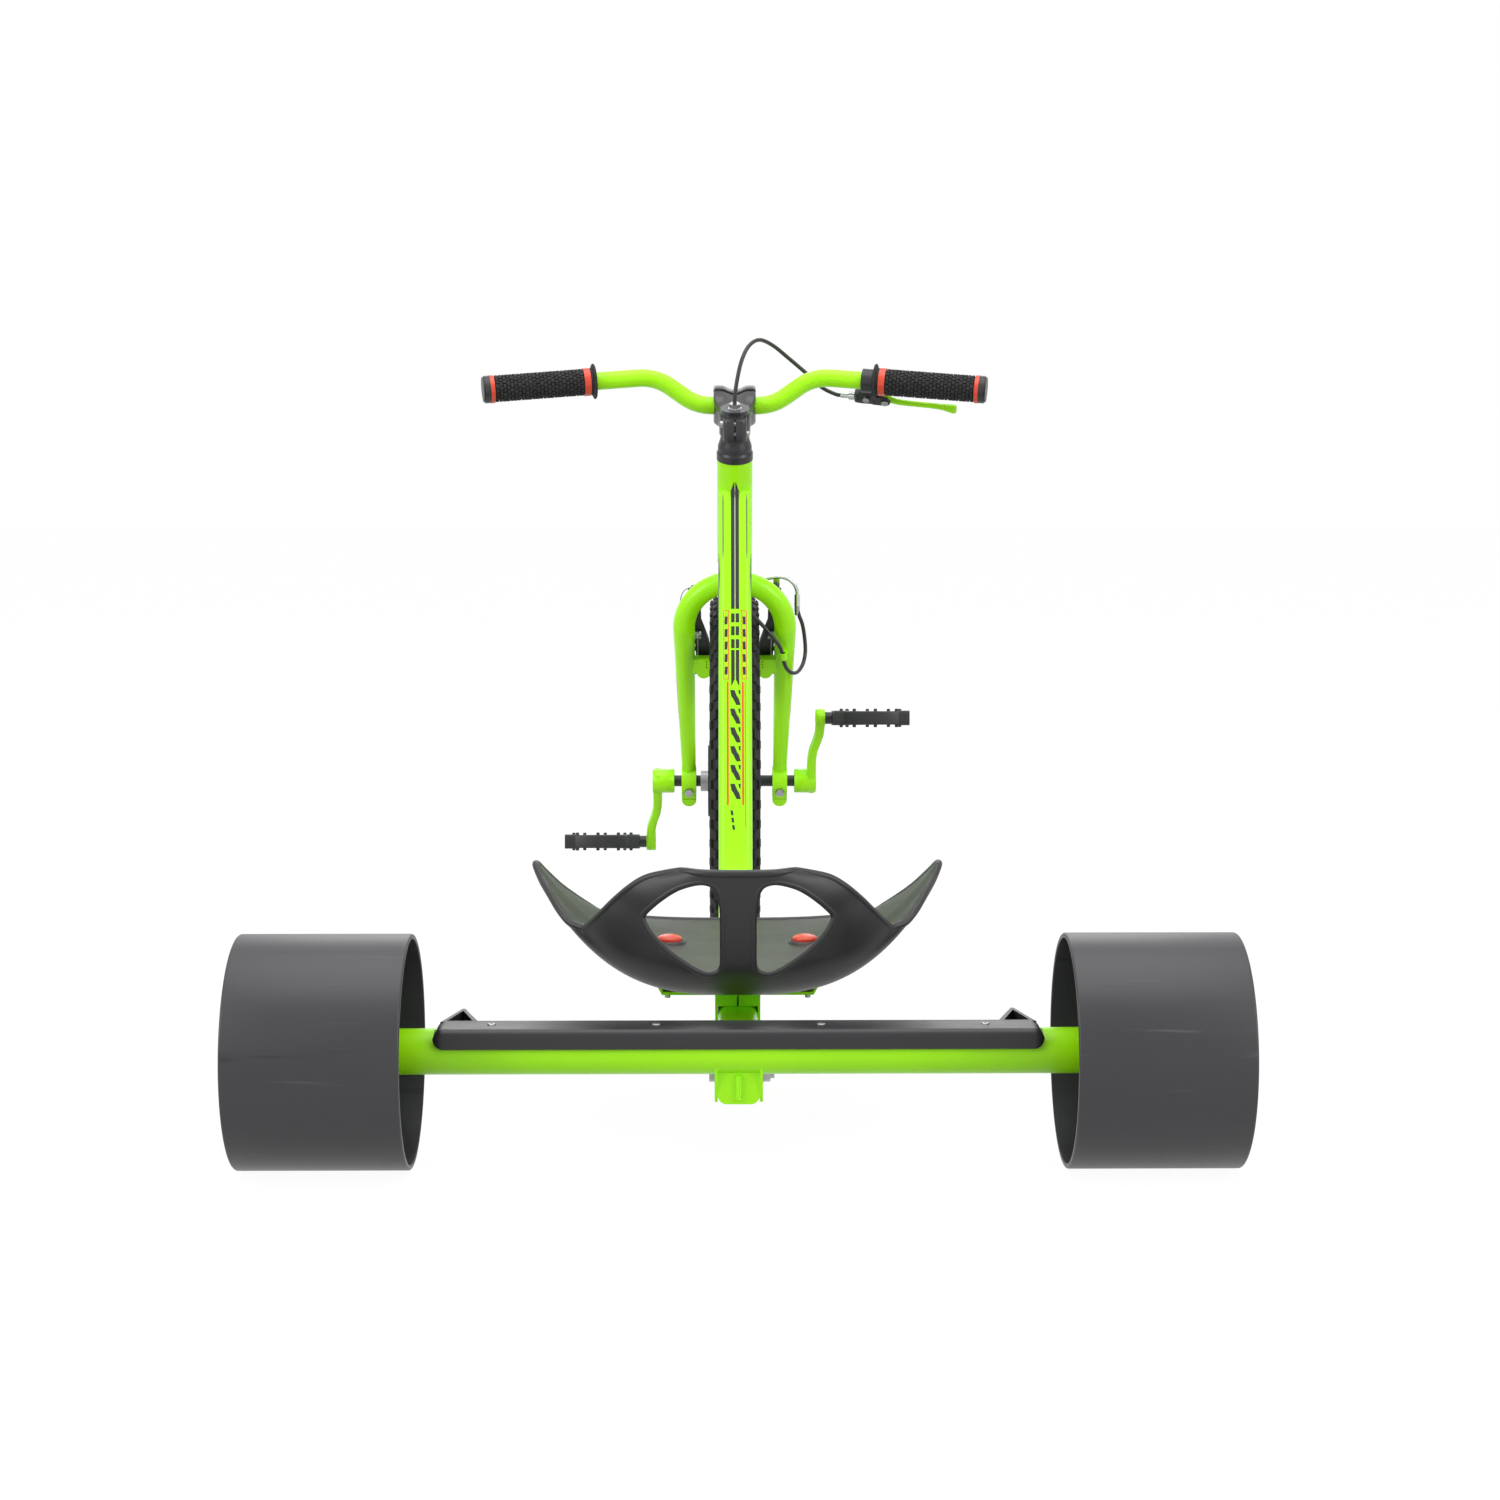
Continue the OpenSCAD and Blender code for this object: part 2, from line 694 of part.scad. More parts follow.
// Outline of one opening in the back, as distance from the middle and height above the axle
back_opening = [
    [15, 78], [15, 118], [18, 146], [24, 155], [34, 158], [46, 156], [62, 149.5], [78, 138],
    [90, 126.5], [94, 120], [92, 112], [84, 99.5], [68, 84], [46, 69.5], [32, 63.5], [21, 65],
];

module bolt_places() {
    both() for (y = [bolt_front - bolt_gap, bolt_front]) translate([bolt_x, y, pan_h(y)]) children();
}

module seat_shell() color([0.16, 0.16, 0.17]) {
    at_rear() difference() {
        union() {
            seat_skin();
            bolt_places() translate([0, 0, -8]) cylinder(h = 12, r = 18);
        }
        both() translate([0, 30, 0]) rotate([-90, 0, 0]) linear_extrude(85)
            polygon([for (p = back_opening) [p[0], -p[1]]]);
        bolt_places() translate([0, 0, 4]) cylinder(h = 16, r = 15);
        bolt_places() translate([0, 0, -20]) cylinder(h = 40, r = 3.2);
    }
}

module seat_plate() color("greenyellow") {
    flat = plate_w / 2 - 5.5;
    side = 10;
    difference() {
        translate([0, rear_plate_y + plate_len, plate_h]) rotate([90, 0, 0]) linear_extrude(plate_len) polygon([
            [-flat, 0], [flat, 0], [plate_w / 2, side], [plate_w / 2 - plate_t, side + 1],
            [flat - 1, plate_t], [-flat + 1, plate_t], [-plate_w / 2 + plate_t, side + 1],
            [-plate_w / 2, side],
        ]);
        at_rear() bolt_places() translate([0, 0, -60]) cylinder(h = 60, r = 3.2);
    }
}

module seat_spacers() color([0.16, 0.16, 0.17]) {
    for (y = [bolt_front - bolt_gap, bolt_front]) both()
        translate([bolt_x, rear_y + y, plate_h + plate_t]) difference() {
            cylinder(h = drum_r + pan_h(y) - 8 - plate_h - plate_t, r = 4);
            translate([0, 0, -1]) cylinder(h = 60, r = 3.2);
        }
}

module seat_washers() color("orangered") {
    at_rear() bolt_places() translate([0, 0, 4]) ring(14, 3.2, 2.5);
}

module seat_bolts() color("silver") {
    for (y = [bolt_front - bolt_gap, bolt_front]) both() translate([bolt_x, rear_y + y, 0]) {
        top = drum_r + pan_h(y) + 6.5;
        difference() {
            union() {
                translate([0, 0, plate_h - 9]) cylinder(h = top - plate_h + 9, r = 3);
                translate([0, 0, top]) cylinder(h = 3.3, r = 6);
            }
            translate([0, 0, top + 1.5]) hexagon(4, 4);
        }
        translate([0, 0, plate_h - 5.5]) difference() {
            hexagon(9, 5.5);
            translate([0, 0, -1]) cylinder(h = 8, r = 3);
        }
    }
}

clamp_half = tube_w / 2 + slide_gap + 2.7;
pin_h = tail_top + slide_gap + 8.7;
pin_r = 4;
pin_y = clamp_y + clamp_len / 2;
lever_x = clamp_half + 33;

module seat_clamp() color("greenyellow") {
    inner = tube_w / 2 + slide_gap;
    low = tail_h - tube_d / 2 - slide_gap;
    difference() {
        translate([0, clamp_y + clamp_len, 0]) rotate([90, 0, 0]) linear_extrude(clamp_len) polygon([
            [-clamp_half, plate_h], [clamp_half, plate_h], [clamp_half, low - 3],
            [inner - 10, low - 3], [inner - 10, low], [inner, low], [inner, tail_top + slide_gap],
            [-inner, tail_top + slide_gap], [-inner, low], [-inner + 10, low],
            [-inner + 10, low - 3], [-clamp_half, low - 3],
        ]);
        // Slit that lets the block close on the tube
        translate([-1, clamp_y - 1, tail_top]) cube([2, clamp_len + 2, post_h - 4]);
        translate([0, pin_y, pin_h]) along_x(-clamp_half - 1, clamp_half + 1, pin_r + 0.1);
    }
}

module clamp_pin() color("silver") {
    translate([0, pin_y, pin_h]) {
        along_x(-lever_x - 10, clamp_half + 7, pin_r);
        translate([clamp_half, 0, 0]) rotate([0, 90, 0]) hexagon(12, 5);
        along_x(-clamp_half - 14, -clamp_half, 7.5);
        along_x(-lever_x + 12, -lever_x + 15, 8);
        along_x(-lever_x - 10, -lever_x - 7, 7);
    }
}

module clamp_lever() color([0.16, 0.16, 0.17]) {
    translate([-lever_x, pin_y, pin_h]) difference() {
        union() {
            along_x(-6.5, 11.5, 8);
            hull() {
                translate([-3, 0, 0]) along_x(0, 6, 6.5);
                translate([-12, 46, -6]) along_x(0, 6, 4.5);
            }
        }
        along_x(-30, 30, pin_r + run_gap);
    }
}

// Fork, at the head's frame: x across, y ahead of the steering axis, z along it

module fork_leg() {
    foot = [end_x, fork_offset, 12];
    top = [arch_r, 0, knee_t];
    along = foot - top;
    translate(top) {
        sphere(leg_r);
        rotate([0, 0, atan2(along[1], along[0])]) rotate([0, acos(along[2] / norm(along)), 0])
            cylinder(h = norm(along), r1 = leg_r, r2 = leg_end_r);
    }
}

module fork_end() {
    translate([end_x, fork_offset, 0]) {
        along_x(-end_w / 2, end_w / 2, 20);
        translate([-end_w / 2, -13, -end_drop + end_w / 2]) cube([end_w, 26, end_drop]);
        translate([0, 0, -end_drop + end_w / 2]) along_y(-13, 13, end_w / 2);
    }
}

boss_e = 14;
arm_e = boss_e + 6;
arm_t = 12;

module fork() color("greenyellow") {
    at_head() difference() {
        union() {
            translate([0, 0, knee_t]) rotate([90, 0, 0]) rotate_extrude(angle = 180)
                translate([arch_r, 0]) circle(leg_r);
            translate([0, 0, crown_t]) cylinder(h = stem_top - crown_t, r = steerer_r);
            translate([0, 0, crown_t]) cylinder(h = head_low - 0.4 - crown_t, r = head_r - 3);
            both() fork_leg();
            both() fork_end();
            // Plates that carry the brake's pivots
            both() translate([pivot_x - 9, 0, pivot_t - 1])
                cube([arch_r - pivot_x + 2, boss_e, 19]);
            both() translate([pivot_x, boss_e, pivot_t]) along_y(-boss_e, 0, 9);
            both() translate([pivot_x, 0, pivot_t]) along_y(boss_e - 1, arm_e + arm_t + 0.4, 5);
        }
        translate([0, 0, head_low]) cylinder(h = stem_top, r = steerer_r - 3.3);
        translate([0, 0, knee_t]) cylinder(h = arch_r + 60, r = 5);
        both() translate([0, fork_offset, 0]) along_x(end_x - end_w, end_x + end_w, spindle_bearing_r);
        both() translate([end_x - end_w, fork_offset - 30, -21.5]) cube([2 * end_w, 30, 1]);
        both() translate([end_x, fork_offset, -6]) along_y(-21, -10, 2.9);
        both() for (k = [-1 : 1]) translate([pivot_x - 4, 0, pivot_t + 11 + 4 * k]) along_y(-2, 3, 1.2);
    }
}

module fork_end_bolts() color("silver") {
    at_hub() both() translate([end_x, 0, -6]) {
        along_y(-21, -13, 2.8);
        translate([0, -20.2, 0]) rotate([90, 0, 0]) hexagon(10, 5);
    }
}

module spindle_bearings() color("dimgray") {
    at_hub() both() translate([end_x - end_w / 2, 0, 0]) rotate([0, 90, 0])
        ring(spindle_bearing_r, spindle_r + run_gap, end_w);
}

// Stem

module clamp_block(from, to) {
    translate([-stem_w / 2, from, clamp_t - 19]) cube([stem_w, to - from, 38]);
}

module stem_bolt_places() {
    for (x = [-1, 1]) for (z = [-1, 1]) translate([x * (stem_w / 2 - 6), reach, clamp_t + z * 14.6]) children();
}

module pinch_places() {
    translate([0, -steerer_r - 8, stem_low + 21]) mirror([1, 0, 0]) children();
    translate([0, -steerer_r - 8, stem_low + 8]) children();
}

module stem() color([0.16, 0.16, 0.17]) {
    at_head() difference() {
        union() {
            translate([0, 0, stem_low]) cylinder(h = stem_h, r = steerer_r + 5);
            translate([-14, -steerer_r - 13, stem_low]) cube([28, 14, stem_h]);
            // The body widens from the steerer to the bar's clamp
            translate([0, 0, stem_low + 1]) linear_extrude(stem_h - 3) polygon([
                [-17, 0], [17, 0], [19, 12], [stem_w / 2, reach - 22], [stem_w / 2, reach - 15],
                [-stem_w / 2, reach - 15], [-stem_w / 2, reach - 22], [-19, 12],
            ]);
            clamp_block(reach - 16, reach - 0.8);
        }
        translate([0, 0, stem_low - 1]) cylinder(h = stem_h + 2, r = steerer_r);
        translate([-1, -60, stem_low - 1]) cube([2, 60, stem_h + 2]);
        translate([0, reach, clamp_t]) along_x(-stem_w, stem_w, bar_r);
        stem_bolt_places() along_y(-12, 4, 2.5);
        pinch_places() along_x(-20, 20, 2.5);
    }
}

module stem_faceplate() color([0.16, 0.16, 0.17]) {
    at_head() difference() {
        union() {
            clamp_block(reach + 0.8, reach + 16);
            // Two raised shoulders leave a dip in the middle of the top edge
            both() translate([stem_w / 2 - 19, reach + 0.8, clamp_t + 18]) cube([14, 12, 5]);
        }
        translate([0, reach, clamp_t]) along_x(-stem_w, stem_w, bar_r);
        stem_bolt_places() along_y(0, 20, 2.6);
        stem_bolt_places() along_y(13, 20, 4.4);
    }
}

module stem_bolts() color("silver") {
    at_head() stem_bolt_places() difference() {
        union() {
            along_y(-12, 13, 2.5);
            along_y(13, 17, 4.2);
        }
        translate([0, 18, 0]) rotate([90, 0, 0]) hexagon(4, 3);
    }
    at_head() pinch_places() difference() {
        union() {
            along_x(-13, 14, 2.5);
            along_x(14, 18, 4.3);
        }
        translate([16, 0, 0]) rotate([0, 90, 0]) hexagon(4, 3);
    }
}

module steerer_cap() color([0.16, 0.16, 0.17]) {
    at_head() translate([0, 0, stem_top]) difference() {
        cylinder(h = 5, r = steerer_r + 3.7);
        translate([0, 0, -1]) cylinder(h = 7, r = 4);
        translate([0, 0, 3.5]) cylinder(h = 3, r = 9);
    }
}

module cap_bolt() color("silver") {
    at_head() difference() {
        union() {
            translate([0, 0, stem_top + 3.5]) cylinder(h = 1.5, r = 8.5);
            translate([0, 0, stem_top + 5]) hexagon(12, 6);
            translate([0, 0, stem_top - 30]) cylinder(h = 34, r = 4);
            // Nut that grips the steerer from inside
            translate([0, 0, stem_top - 30]) cylinder(h = 8, r = steerer_r - 3.3);
        }
        translate([0, 0, stem_top - 40]) cylinder(h = 60, r = cable_r + 0.2);
    }
}

// Handlebar: a straight middle, two bends each side, then the straight ends

bar_dir = unit([cos(bar_sweep) * cos(bar_droop), -sin(bar_sweep), -sin(bar_droop)]);
kick_dir = [cos(bar_kick), 0, sin(bar_kick)];
kick_in = [-sin(bar_kick), 0, cos(bar_kick)];
bar_turn = acos(bar_dir * kick_dir);
bar_roll = atan2(-bar_dir[1], bar_dir * kick_in);
bar_first = stem_w / 2 + 2;
turn_in = (bar_dir - cos(bar_turn) * kick_dir) / sin(bar_turn);
kick_end = [bar_first + bar_bend * sin(bar_kick), 0, bar_bend * (1 - cos(bar_kick))];
turn_step = bar_bend * ((1 - cos(bar_turn)) * turn_in + sin(bar_turn) * kick_dir);
bar_climb = (bar_rise - kick_end[2] - turn_step[2]) / sin(bar_kick);
grip_at = kick_end + bar_climb * kick_dir + turn_step;
bar_end = (bar_width / 2 - grip_at[0]) / bar_dir[0];
lever_way = [0, cos(lever_drop), -sin(lever_drop)];
lever_side = unit(lever_way - (lever_way * bar_dir) * bar_dir);
grip_start = bar_end - grip_stack[0] - grip_stack[1] - grip_stack[2] - grip_stack[3] - grip_stack[4];
band_w = 14.6;
band_z = grip_start - band_w - 0.4;

// The bends are drawn down a little, and the straight lengths lap over them
module bar_half() {
    bent_r = bar_r - 0.1;
    lap = 1;
    rotate([0, 90, 0]) rotate([0, 0, 180]) translate([0, 0, bar_first]) bend(bar_bend, bar_kick, bent_r) {
        translate([0, 0, -lap]) cylinder(h = bar_climb + 2 * lap, r = bar_r);
        translate([0, 0, bar_climb]) rotate([0, 0, bar_roll]) bend(bar_bend, bar_turn, bent_r) {
            translate([0, 0, -lap]) cylinder(h = grip_start + lap, r = bar_r);
            cylinder(h = bar_end, r = bar_r - grip_seat);
        }
    }
}

module handlebar() color("greenyellow") {
    at_bar() difference() {
        union() {
            along_x(-bar_first - 1, bar_first + 1, bar_r);
            both() bar_half();
        }
        both() at_grip() translate([0, 0, 1]) cylinder(h = bar_end, r = bar_r - bar_wall);
    }
}

// The grip's frame: z runs out along the bar, x points to the brake lever
module at_grip() {
    other = cross(bar_dir, lever_side);
    translate(grip_at) multmatrix([
        [lever_side[0], other[0], bar_dir[0], 0],
        [lever_side[1], other[1], bar_dir[1], 0],
        [lever_side[2], other[2], bar_dir[2], 0],
        [0, 0, 0, 1],
    ]) children();
}

module grip() {
    sleeve = grip_start + grip_stack[4] + grip_stack[3];
    at_grip() {
        translate([0, 0, grip_start]) ring(flange_r, bar_r, 3);
        translate([0, 0, grip_start + 3]) ring(grip_r, bar_r, grip_stack[4] - 3);
        translate([0, 0, sleeve]) rotate_extrude() polygon(concat(
            [[bar_r, grip_len], [bar_r, 0]],
            [for (k = [0 : 1 : 13]) for (s = [0 : 3])
                [grip_r - (s == 0 || s == 3 ? 1.4 : 0), (k + [0, 0.2, 0.7, 0.9][s]) * grip_len / 14]],
            [[grip_r - 1.4, grip_len]]
        ));
    }
}

module left_grip() color([0.16, 0.16, 0.17]) at_bar() mirror([1, 0, 0]) grip();

module right_grip() color([0.16, 0.16, 0.17]) at_bar() grip();

module grip_rings() color("orangered") {
    at_bar() both() at_grip() {
        translate([0, 0, grip_start + grip_stack[4]]) ring(grip_r + 1, bar_r, grip_stack[3]);
        translate([0, 0, bar_end - grip_stack[0] - grip_stack[1]]) ring(grip_r + 1, bar_r, grip_stack[1]);
    }
}

module bar_plugs() color([0.16, 0.16, 0.17]) {
    at_bar() both() at_grip() {
        translate([0, 0, bar_end - grip_stack[0]]) ring(grip_r + 0.5, bar_r, grip_stack[0]);
        translate([0, 0, bar_end]) cylinder(h = 2, r = grip_r - 1);
        translate([0, 0, bar_end - 12]) cylinder(h = 12, r = bar_r - bar_wall);
    }
}

// Brake lever

pivot_side = flange_r + 9;
pivot_z = band_z + 28;
holder_z = band_z - 11;
blade_t = 8;

module lever_housing() color([0.16, 0.16, 0.17]) {
    at_bar() at_grip() difference() {
        union() {
            translate([0, 0, band_z]) cylinder(h = band_w, r = bar_r + 4);
            translate([bar_r, -7, holder_z]) cube([pivot_side - bar_r + 6, 14, 21]);
            translate([pivot_side - 7, -7, holder_z + 19]) cube([14, 14, 27]);
        }
        translate([0, 0, holder_z - 10]) cylinder(h = 90, r = bar_r);
        translate([pivot_side - 12, -blade_t / 2 - 0.3, pivot_z - 10]) cube([40, blade_t + 0.6, 40]);
        translate([pivot_side, 0, pivot_z]) along_y(-20, 20, 2.5);
        translate([pivot_side, 0, holder_z - 10]) cylinder(h = 60, r = 2.8);
        translate([bar_r + 14, 0, band_z + 5]) along_y(-20, 20, 2.5);
    }
}

module lever_bolts() color("silver") {
    at_bar() at_grip() {
        translate([bar_r + 14, 0, band_z + 5]) {
            along_y(-7.2, 7, 2.5);
            along_y(-11.2, -7.2, 4.3);
        }
        translate([pivot_side, 0, pivot_z]) {
            along_y(-7, 7, 2.5);
            along_y(-9.5, -7, 4.5);
        }
    }
}

module barrel_adjuster() color("silver") {
    at_bar() at_grip() translate([pivot_side, 0, holder_z]) difference() {
        union() {
            translate([0, 0, -8]) cylinder(h = 8, r = 4.8);
            translate([0, 0, -18]) cylinder(h = 10, r = 3.8);
            cylinder(h = 10, r = 2.8);
        }
        translate([0, 0, -20]) cylinder(h = 40, r = 1);
        translate([0, 0, -20]) cylinder(h = 12, r = cable_r + 0.3);
    }
}

module lever_blade() color("greenyellow") {
    at_bar() at_grip() translate([pivot_side, 0, pivot_z]) difference() {
        union() {
            along_y(-blade_t / 2, blade_t / 2, 6);
            hull() {
                along_y(-blade_t / 2, blade_t / 2, 5.5);
                translate([6, 0, 18]) along_y(-blade_t / 2, blade_t / 2, 4.5);
            }
            hull() {
                translate([6, 0, 18]) along_y(-blade_t / 2, blade_t / 2, 4.5);
                translate([8, 0, blade_len - 18]) along_y(-blade_t / 2, blade_t / 2, 4);
            }
            hull() {
                translate([8, 0, blade_len - 18]) along_y(-blade_t / 2, blade_t / 2, 4);
                translate([10.5, 0, blade_len - 6]) along_y(-blade_t / 2, blade_t / 2, 4.5);
            }
            translate([10.5, 0, blade_len - 6]) sphere(5.5);
        }
        along_y(-20, 20, 2.5 + run_gap);
    }
}

// Brake cable: from the lever over the bar, down through the steerer, round the right leg

// A point of the lever's side of the bar, in the head's frame
function on_lever(z) =
    let (v = bar_at + grip_at + pivot_side * lever_side + z * bar_dir - head_at)
    [v[0], v * axis_fore, v * axis_up];

noodle_at = [pivot_x + 41, arm_e + 13.5, pivot_t + 80];

// Over the bar, measured from the stem's top
over_route = [
    [110, 86, 1], [91, 89, 18], [68, 84, 40], [48, 71, 61], [31, 55, 74], [18, 37, 73], [9, 20, 61],
    [3, 7, 40], [0, 0, 17], [0, 0, -15],
];
// Down the steerer and the back of the right leg, measured from the head tube's lower end
down_route = [
    [0, 0, 145], [0, 0, 95], [0, 0, 45], [0, 0, -5], [0, 0, -35], [2, 0, -49], [9, -2, -60],
    [20, -7, -69], [33, -13, -81], [46, -17, -95], [56, -19, -108], [61, -19.5, -120],
    [63, -20, -131], [67, -20, -142],
];
// Round the leg and up to the brake, measured from the brake's pivots
up_route = [
    [74, -16, 7], [82, -4, 3], [89, 10, 8], [92, 20, 20], [91, 27, 37], [88, 31, 54], [83, 33, 68],
];
cable_route = concat(
    [for (z = [8.3, 16, 24]) on_lever(holder_z - z)],
    [for (p = over_route) p + [0, 0, stem_top]],
    [for (p = down_route) p + [0, 0, head_low]],
    [for (p = up_route) p + [0, 0, pivot_t]],
    [noodle_at - [0, 0, 0.3]]
);

module brake_cable() color([0.16, 0.16, 0.17]) {
    at_head() sweep(spline(cable_route, 2), cable_r, 8, [0, 1, 0]);
}

module cable_clip() color("greenyellow") {
    at_head() translate([62, -leg_r - 5.8, head_low - 129]) difference() {
        union() {
            cylinder(h = 9, r = 5);
            translate([-4, 0, 0]) cube([10, 10, 9]);
        }
        translate([0, 0, -1]) cylinder(h = 12, r = cable_r + 0.9);
    }
}

noodle_r = 24;

module cable_noodle() color("silver") {
    at_head() translate(noodle_at) {
        ring(3.6, 1.3, 16);
        rotate([0, 0, 180]) translate([0, 0, 16]) bend(noodle_r, 100, 2.4, 1.3) ring(2.4, 1.3, 17);
        // Link that hooks the pipe to the arm's top
        translate([-31, -1.2, 26]) cube([8, 2.4, 12]);
    }
}

// Brake arms: they swing about studs on the fork

pad_t = sqrt(pow(rim_r - rim_d / 2, 2) - pow(fork_offset - arm_e - arm_t / 2, 2));

module brake_arm() {
    top = pivot_t + arm_len;
    translate([0, arm_e + arm_t, 0]) rotate([90, 0, 0]) difference() {
        union() {
            translate([pivot_x, pivot_t]) cylinder(h = arm_t, r = 10);
            linear_extrude(arm_t) polygon([
                [pivot_x - 9, pivot_t], [pivot_x + 9, pivot_t - 2], [pivot_x + 11, pivot_t + 30],
                [pivot_x + 17, pivot_t + 65], [pivot_x + 19, top - 3], [pivot_x + 15, top],
                [pivot_x + 8, top], [pivot_x + 4, top - 6], [pivot_x + 3, pivot_t + 62],
                [pivot_x - 7, pivot_t + 34],
            ]);
        }
        translate([pivot_x, pivot_t, -1]) cylinder(h = arm_t + 2, r = 5 + run_gap);
        translate([0, pad_t, arm_t / 2]) along_x(0, pivot_x + 30, 3);
    }
}

module left_brake_arm() color([0.16, 0.16, 0.17]) at_head() mirror([1, 0, 0]) {
    brake_arm();
    // Screw that holds the wire's end
    translate([pivot_x + 13, 0, pivot_t + arm_len - 4]) along_y(arm_e + arm_t, arm_e + arm_t + 5, 3.4);
}

module right_brake_arm() color([0.16, 0.16, 0.17]) at_head() brake_arm();

module brake_pad() {
    face = rim_w / 2 + pad_gap;
    translate([0, arm_e + arm_t / 2, pad_t]) difference() {
        union() {
            translate([face, -22, -6]) cube([9, 48, 12]);
            along_x(face + 8, pivot_x + 20, 3);
            along_x(pivot_x + 13, pivot_x + 18, 5.5);
            along_x(face + 9, face + 12, 6);
        }
        for (y = [-10, 4, 16]) translate([face - 1, y, -7]) cube([3, 2, 14]);
    }
}

module left_brake_pad() color([0.25, 0.25, 0.25]) at_head() mirror([1, 0, 0]) brake_pad();

module right_brake_pad() color([0.25, 0.25, 0.25]) at_head() brake_pad();

module brake_pivot_bolts() color("silver") {
    at_head() both() translate([pivot_x, arm_e + arm_t + 0.4, pivot_t]) difference() {
        union() {
            along_y(0, 4, 7);
            along_y(4, 7, 4.5);
        }
        translate([0, 8, 0]) rotate([90, 0, 0]) hexagon(4, 3);
    }
}

module brake_springs() color("silver") {
    at_head() both() {
        translate([pivot_x, boss_e + 1, pivot_t]) rotate([-90, 0, 0]) ring(8.5, 6.5, 4);
        translate([pivot_x + 7.5, boss_e + 3, pivot_t]) cylinder(h = 46, r = 0.9);
    }
}

// The bare wire from the pipe's mouth to the left arm, measured from the brake's pivots
wire_route = [
    [35.7, 33.5, 116.6], [20, 33.5, 114.2], [0, 33.5, 111.6], [-20, 33.5, 109.4], [-38, 33.5, 107.2],
    [-53, 33.6, 105], [-62, 34, 103], [-68, 33, 96], [-70, 32, 84], [-67, 31, 72], [-62, 31, 65],
];

module brake_wire() color("silver") {
    at_head() translate([0, 0, pivot_t]) sweep(spline(wire_route, 3), 0.8, 8, [0, 1, 0]);
}

// Front wheel

module front_tyre() color([0.2, 0.2, 0.2]) {
    mid = (tyre_r - tread_h + rim_r - 2) / 2;
    half = tyre_r - tread_h - mid;
    wall = 4;
    translate([0, hub_y, tyre_r]) rotate([0, 90, 0]) rotate_extrude($fn = 96) union() {
        polygon(concat(
            [for (a = [-152 : 8 : 152]) [mid + half * cos(a), tyre_w / 2 * sin(a)]],
            [for (a = [150 : -10 : -150]) [mid + (half - wall) * cos(a), (tyre_w / 2 - wall) * sin(a)]]
        ));
        for (a = [-48 : 16 : 48]) polygon([
            [mid + (half - 1) * cos(a - 5), tyre_w / 2 * sin(a - 5)],
            [mid + (half + tread_h) * cos(a - 4), (tyre_w / 2 - 0.4) * sin(a - 4)],
            [mid + (half + tread_h) * cos(a), (tyre_w / 2 - 0.4) * sin(a)],
            [mid + (half + tread_h) * cos(a + 4), (tyre_w / 2 - 0.4) * sin(a + 4)],
            [mid + (half - 1) * cos(a + 5), tyre_w / 2 * sin(a + 5)],
        ]);
    }
}

module front_rim() color("silver") {
    inner = rim_r - rim_d;
    translate([0, hub_y, tyre_r]) rotate([0, 90, 0]) rotate_extrude($fn = 96) difference() {
        polygon([
            [inner, -rim_w / 2 + 5], [inner + 4, -rim_w / 2], [rim_r, -rim_w / 2], [rim_r, -rim_w / 2 + 2],
            [rim_r - 7, -rim_w / 2 + 2.2], [rim_r - 9, 0], [rim_r - 7, rim_w / 2 - 2.2],
            [rim_r, rim_w / 2 - 2], [rim_r, rim_w / 2], [inner + 4, rim_w / 2], [inner, rim_w / 2 - 5],
        ]);
        polygon([
            [inner + 2, -rim_w / 2 + 6], [inner + 5, -rim_w / 2 + 2], [rim_r - 9, -rim_w / 2 + 2],
            [rim_r - 11, 0], [rim_r - 9, rim_w / 2 - 2], [inner + 5, rim_w / 2 - 2],
            [inner + 2, rim_w / 2 - 6],
        ]);
    }
}

module front_spokes() color("silver") {
    start_r = hub_flange_r - 3;
    end_r = rim_r - rim_d - 0.1;
    off_flange = 2.9;
    translate([0, hub_y, tyre_r]) for (side = [-1, 1]) for (k = [0 : spokes - 1]) {
        from_a = k * 360 / spokes + (side + 1) * 90 / spokes;
        to_a = from_a + (k % 2 == 0 ? 24 : -24);
        face = k % 2 == 0 ? off_flange : -off_flange;
        from = [side * (hub_w / 2 - 1.5 + face), start_r * cos(from_a), start_r * sin(from_a)];
        to = [side * 4, end_r * cos(to_a), end_r * sin(to_a)];
        along = to - from;
        translate(from) rotate([0, 0, atan2(along[1], along[0])])
            rotate([0, acos(along[2] / norm(along)), 0]) cylinder(h = norm(along), r = spoke_r);
    }
}

module front_hub() color([0.2, 0.2, 0.2]) {
    translate([0, hub_y, tyre_r]) rotate([0, 90, 0]) difference() {
        union() {
            translate([0, 0, -hub_w / 2]) cylinder(h = 3, r = hub_flange_r);
            translate([0, 0, hub_w / 2 - 3]) cylinder(h = 3, r = hub_flange_r);
            translate([0, 0, -hub_w / 2 - 2]) cylinder(h = hub_w + 4, r = 17);
        }
        translate([0, 0, -hub_w]) cylinder(h = 2 * hub_w, r = spindle_r + run_gap);
    }
}

// Cranks and pedals

module at_crank(angle) {
    translate([0, hub_y, tyre_r]) rotate([angle, 0, 0]) children();
}

disc_x = hub_w / 2 + 9;

module crank_spindle() color([0.2, 0.2, 0.2]) {
    at_crank(0) along_x(-spindle_half, spindle_half, spindle_r);
}

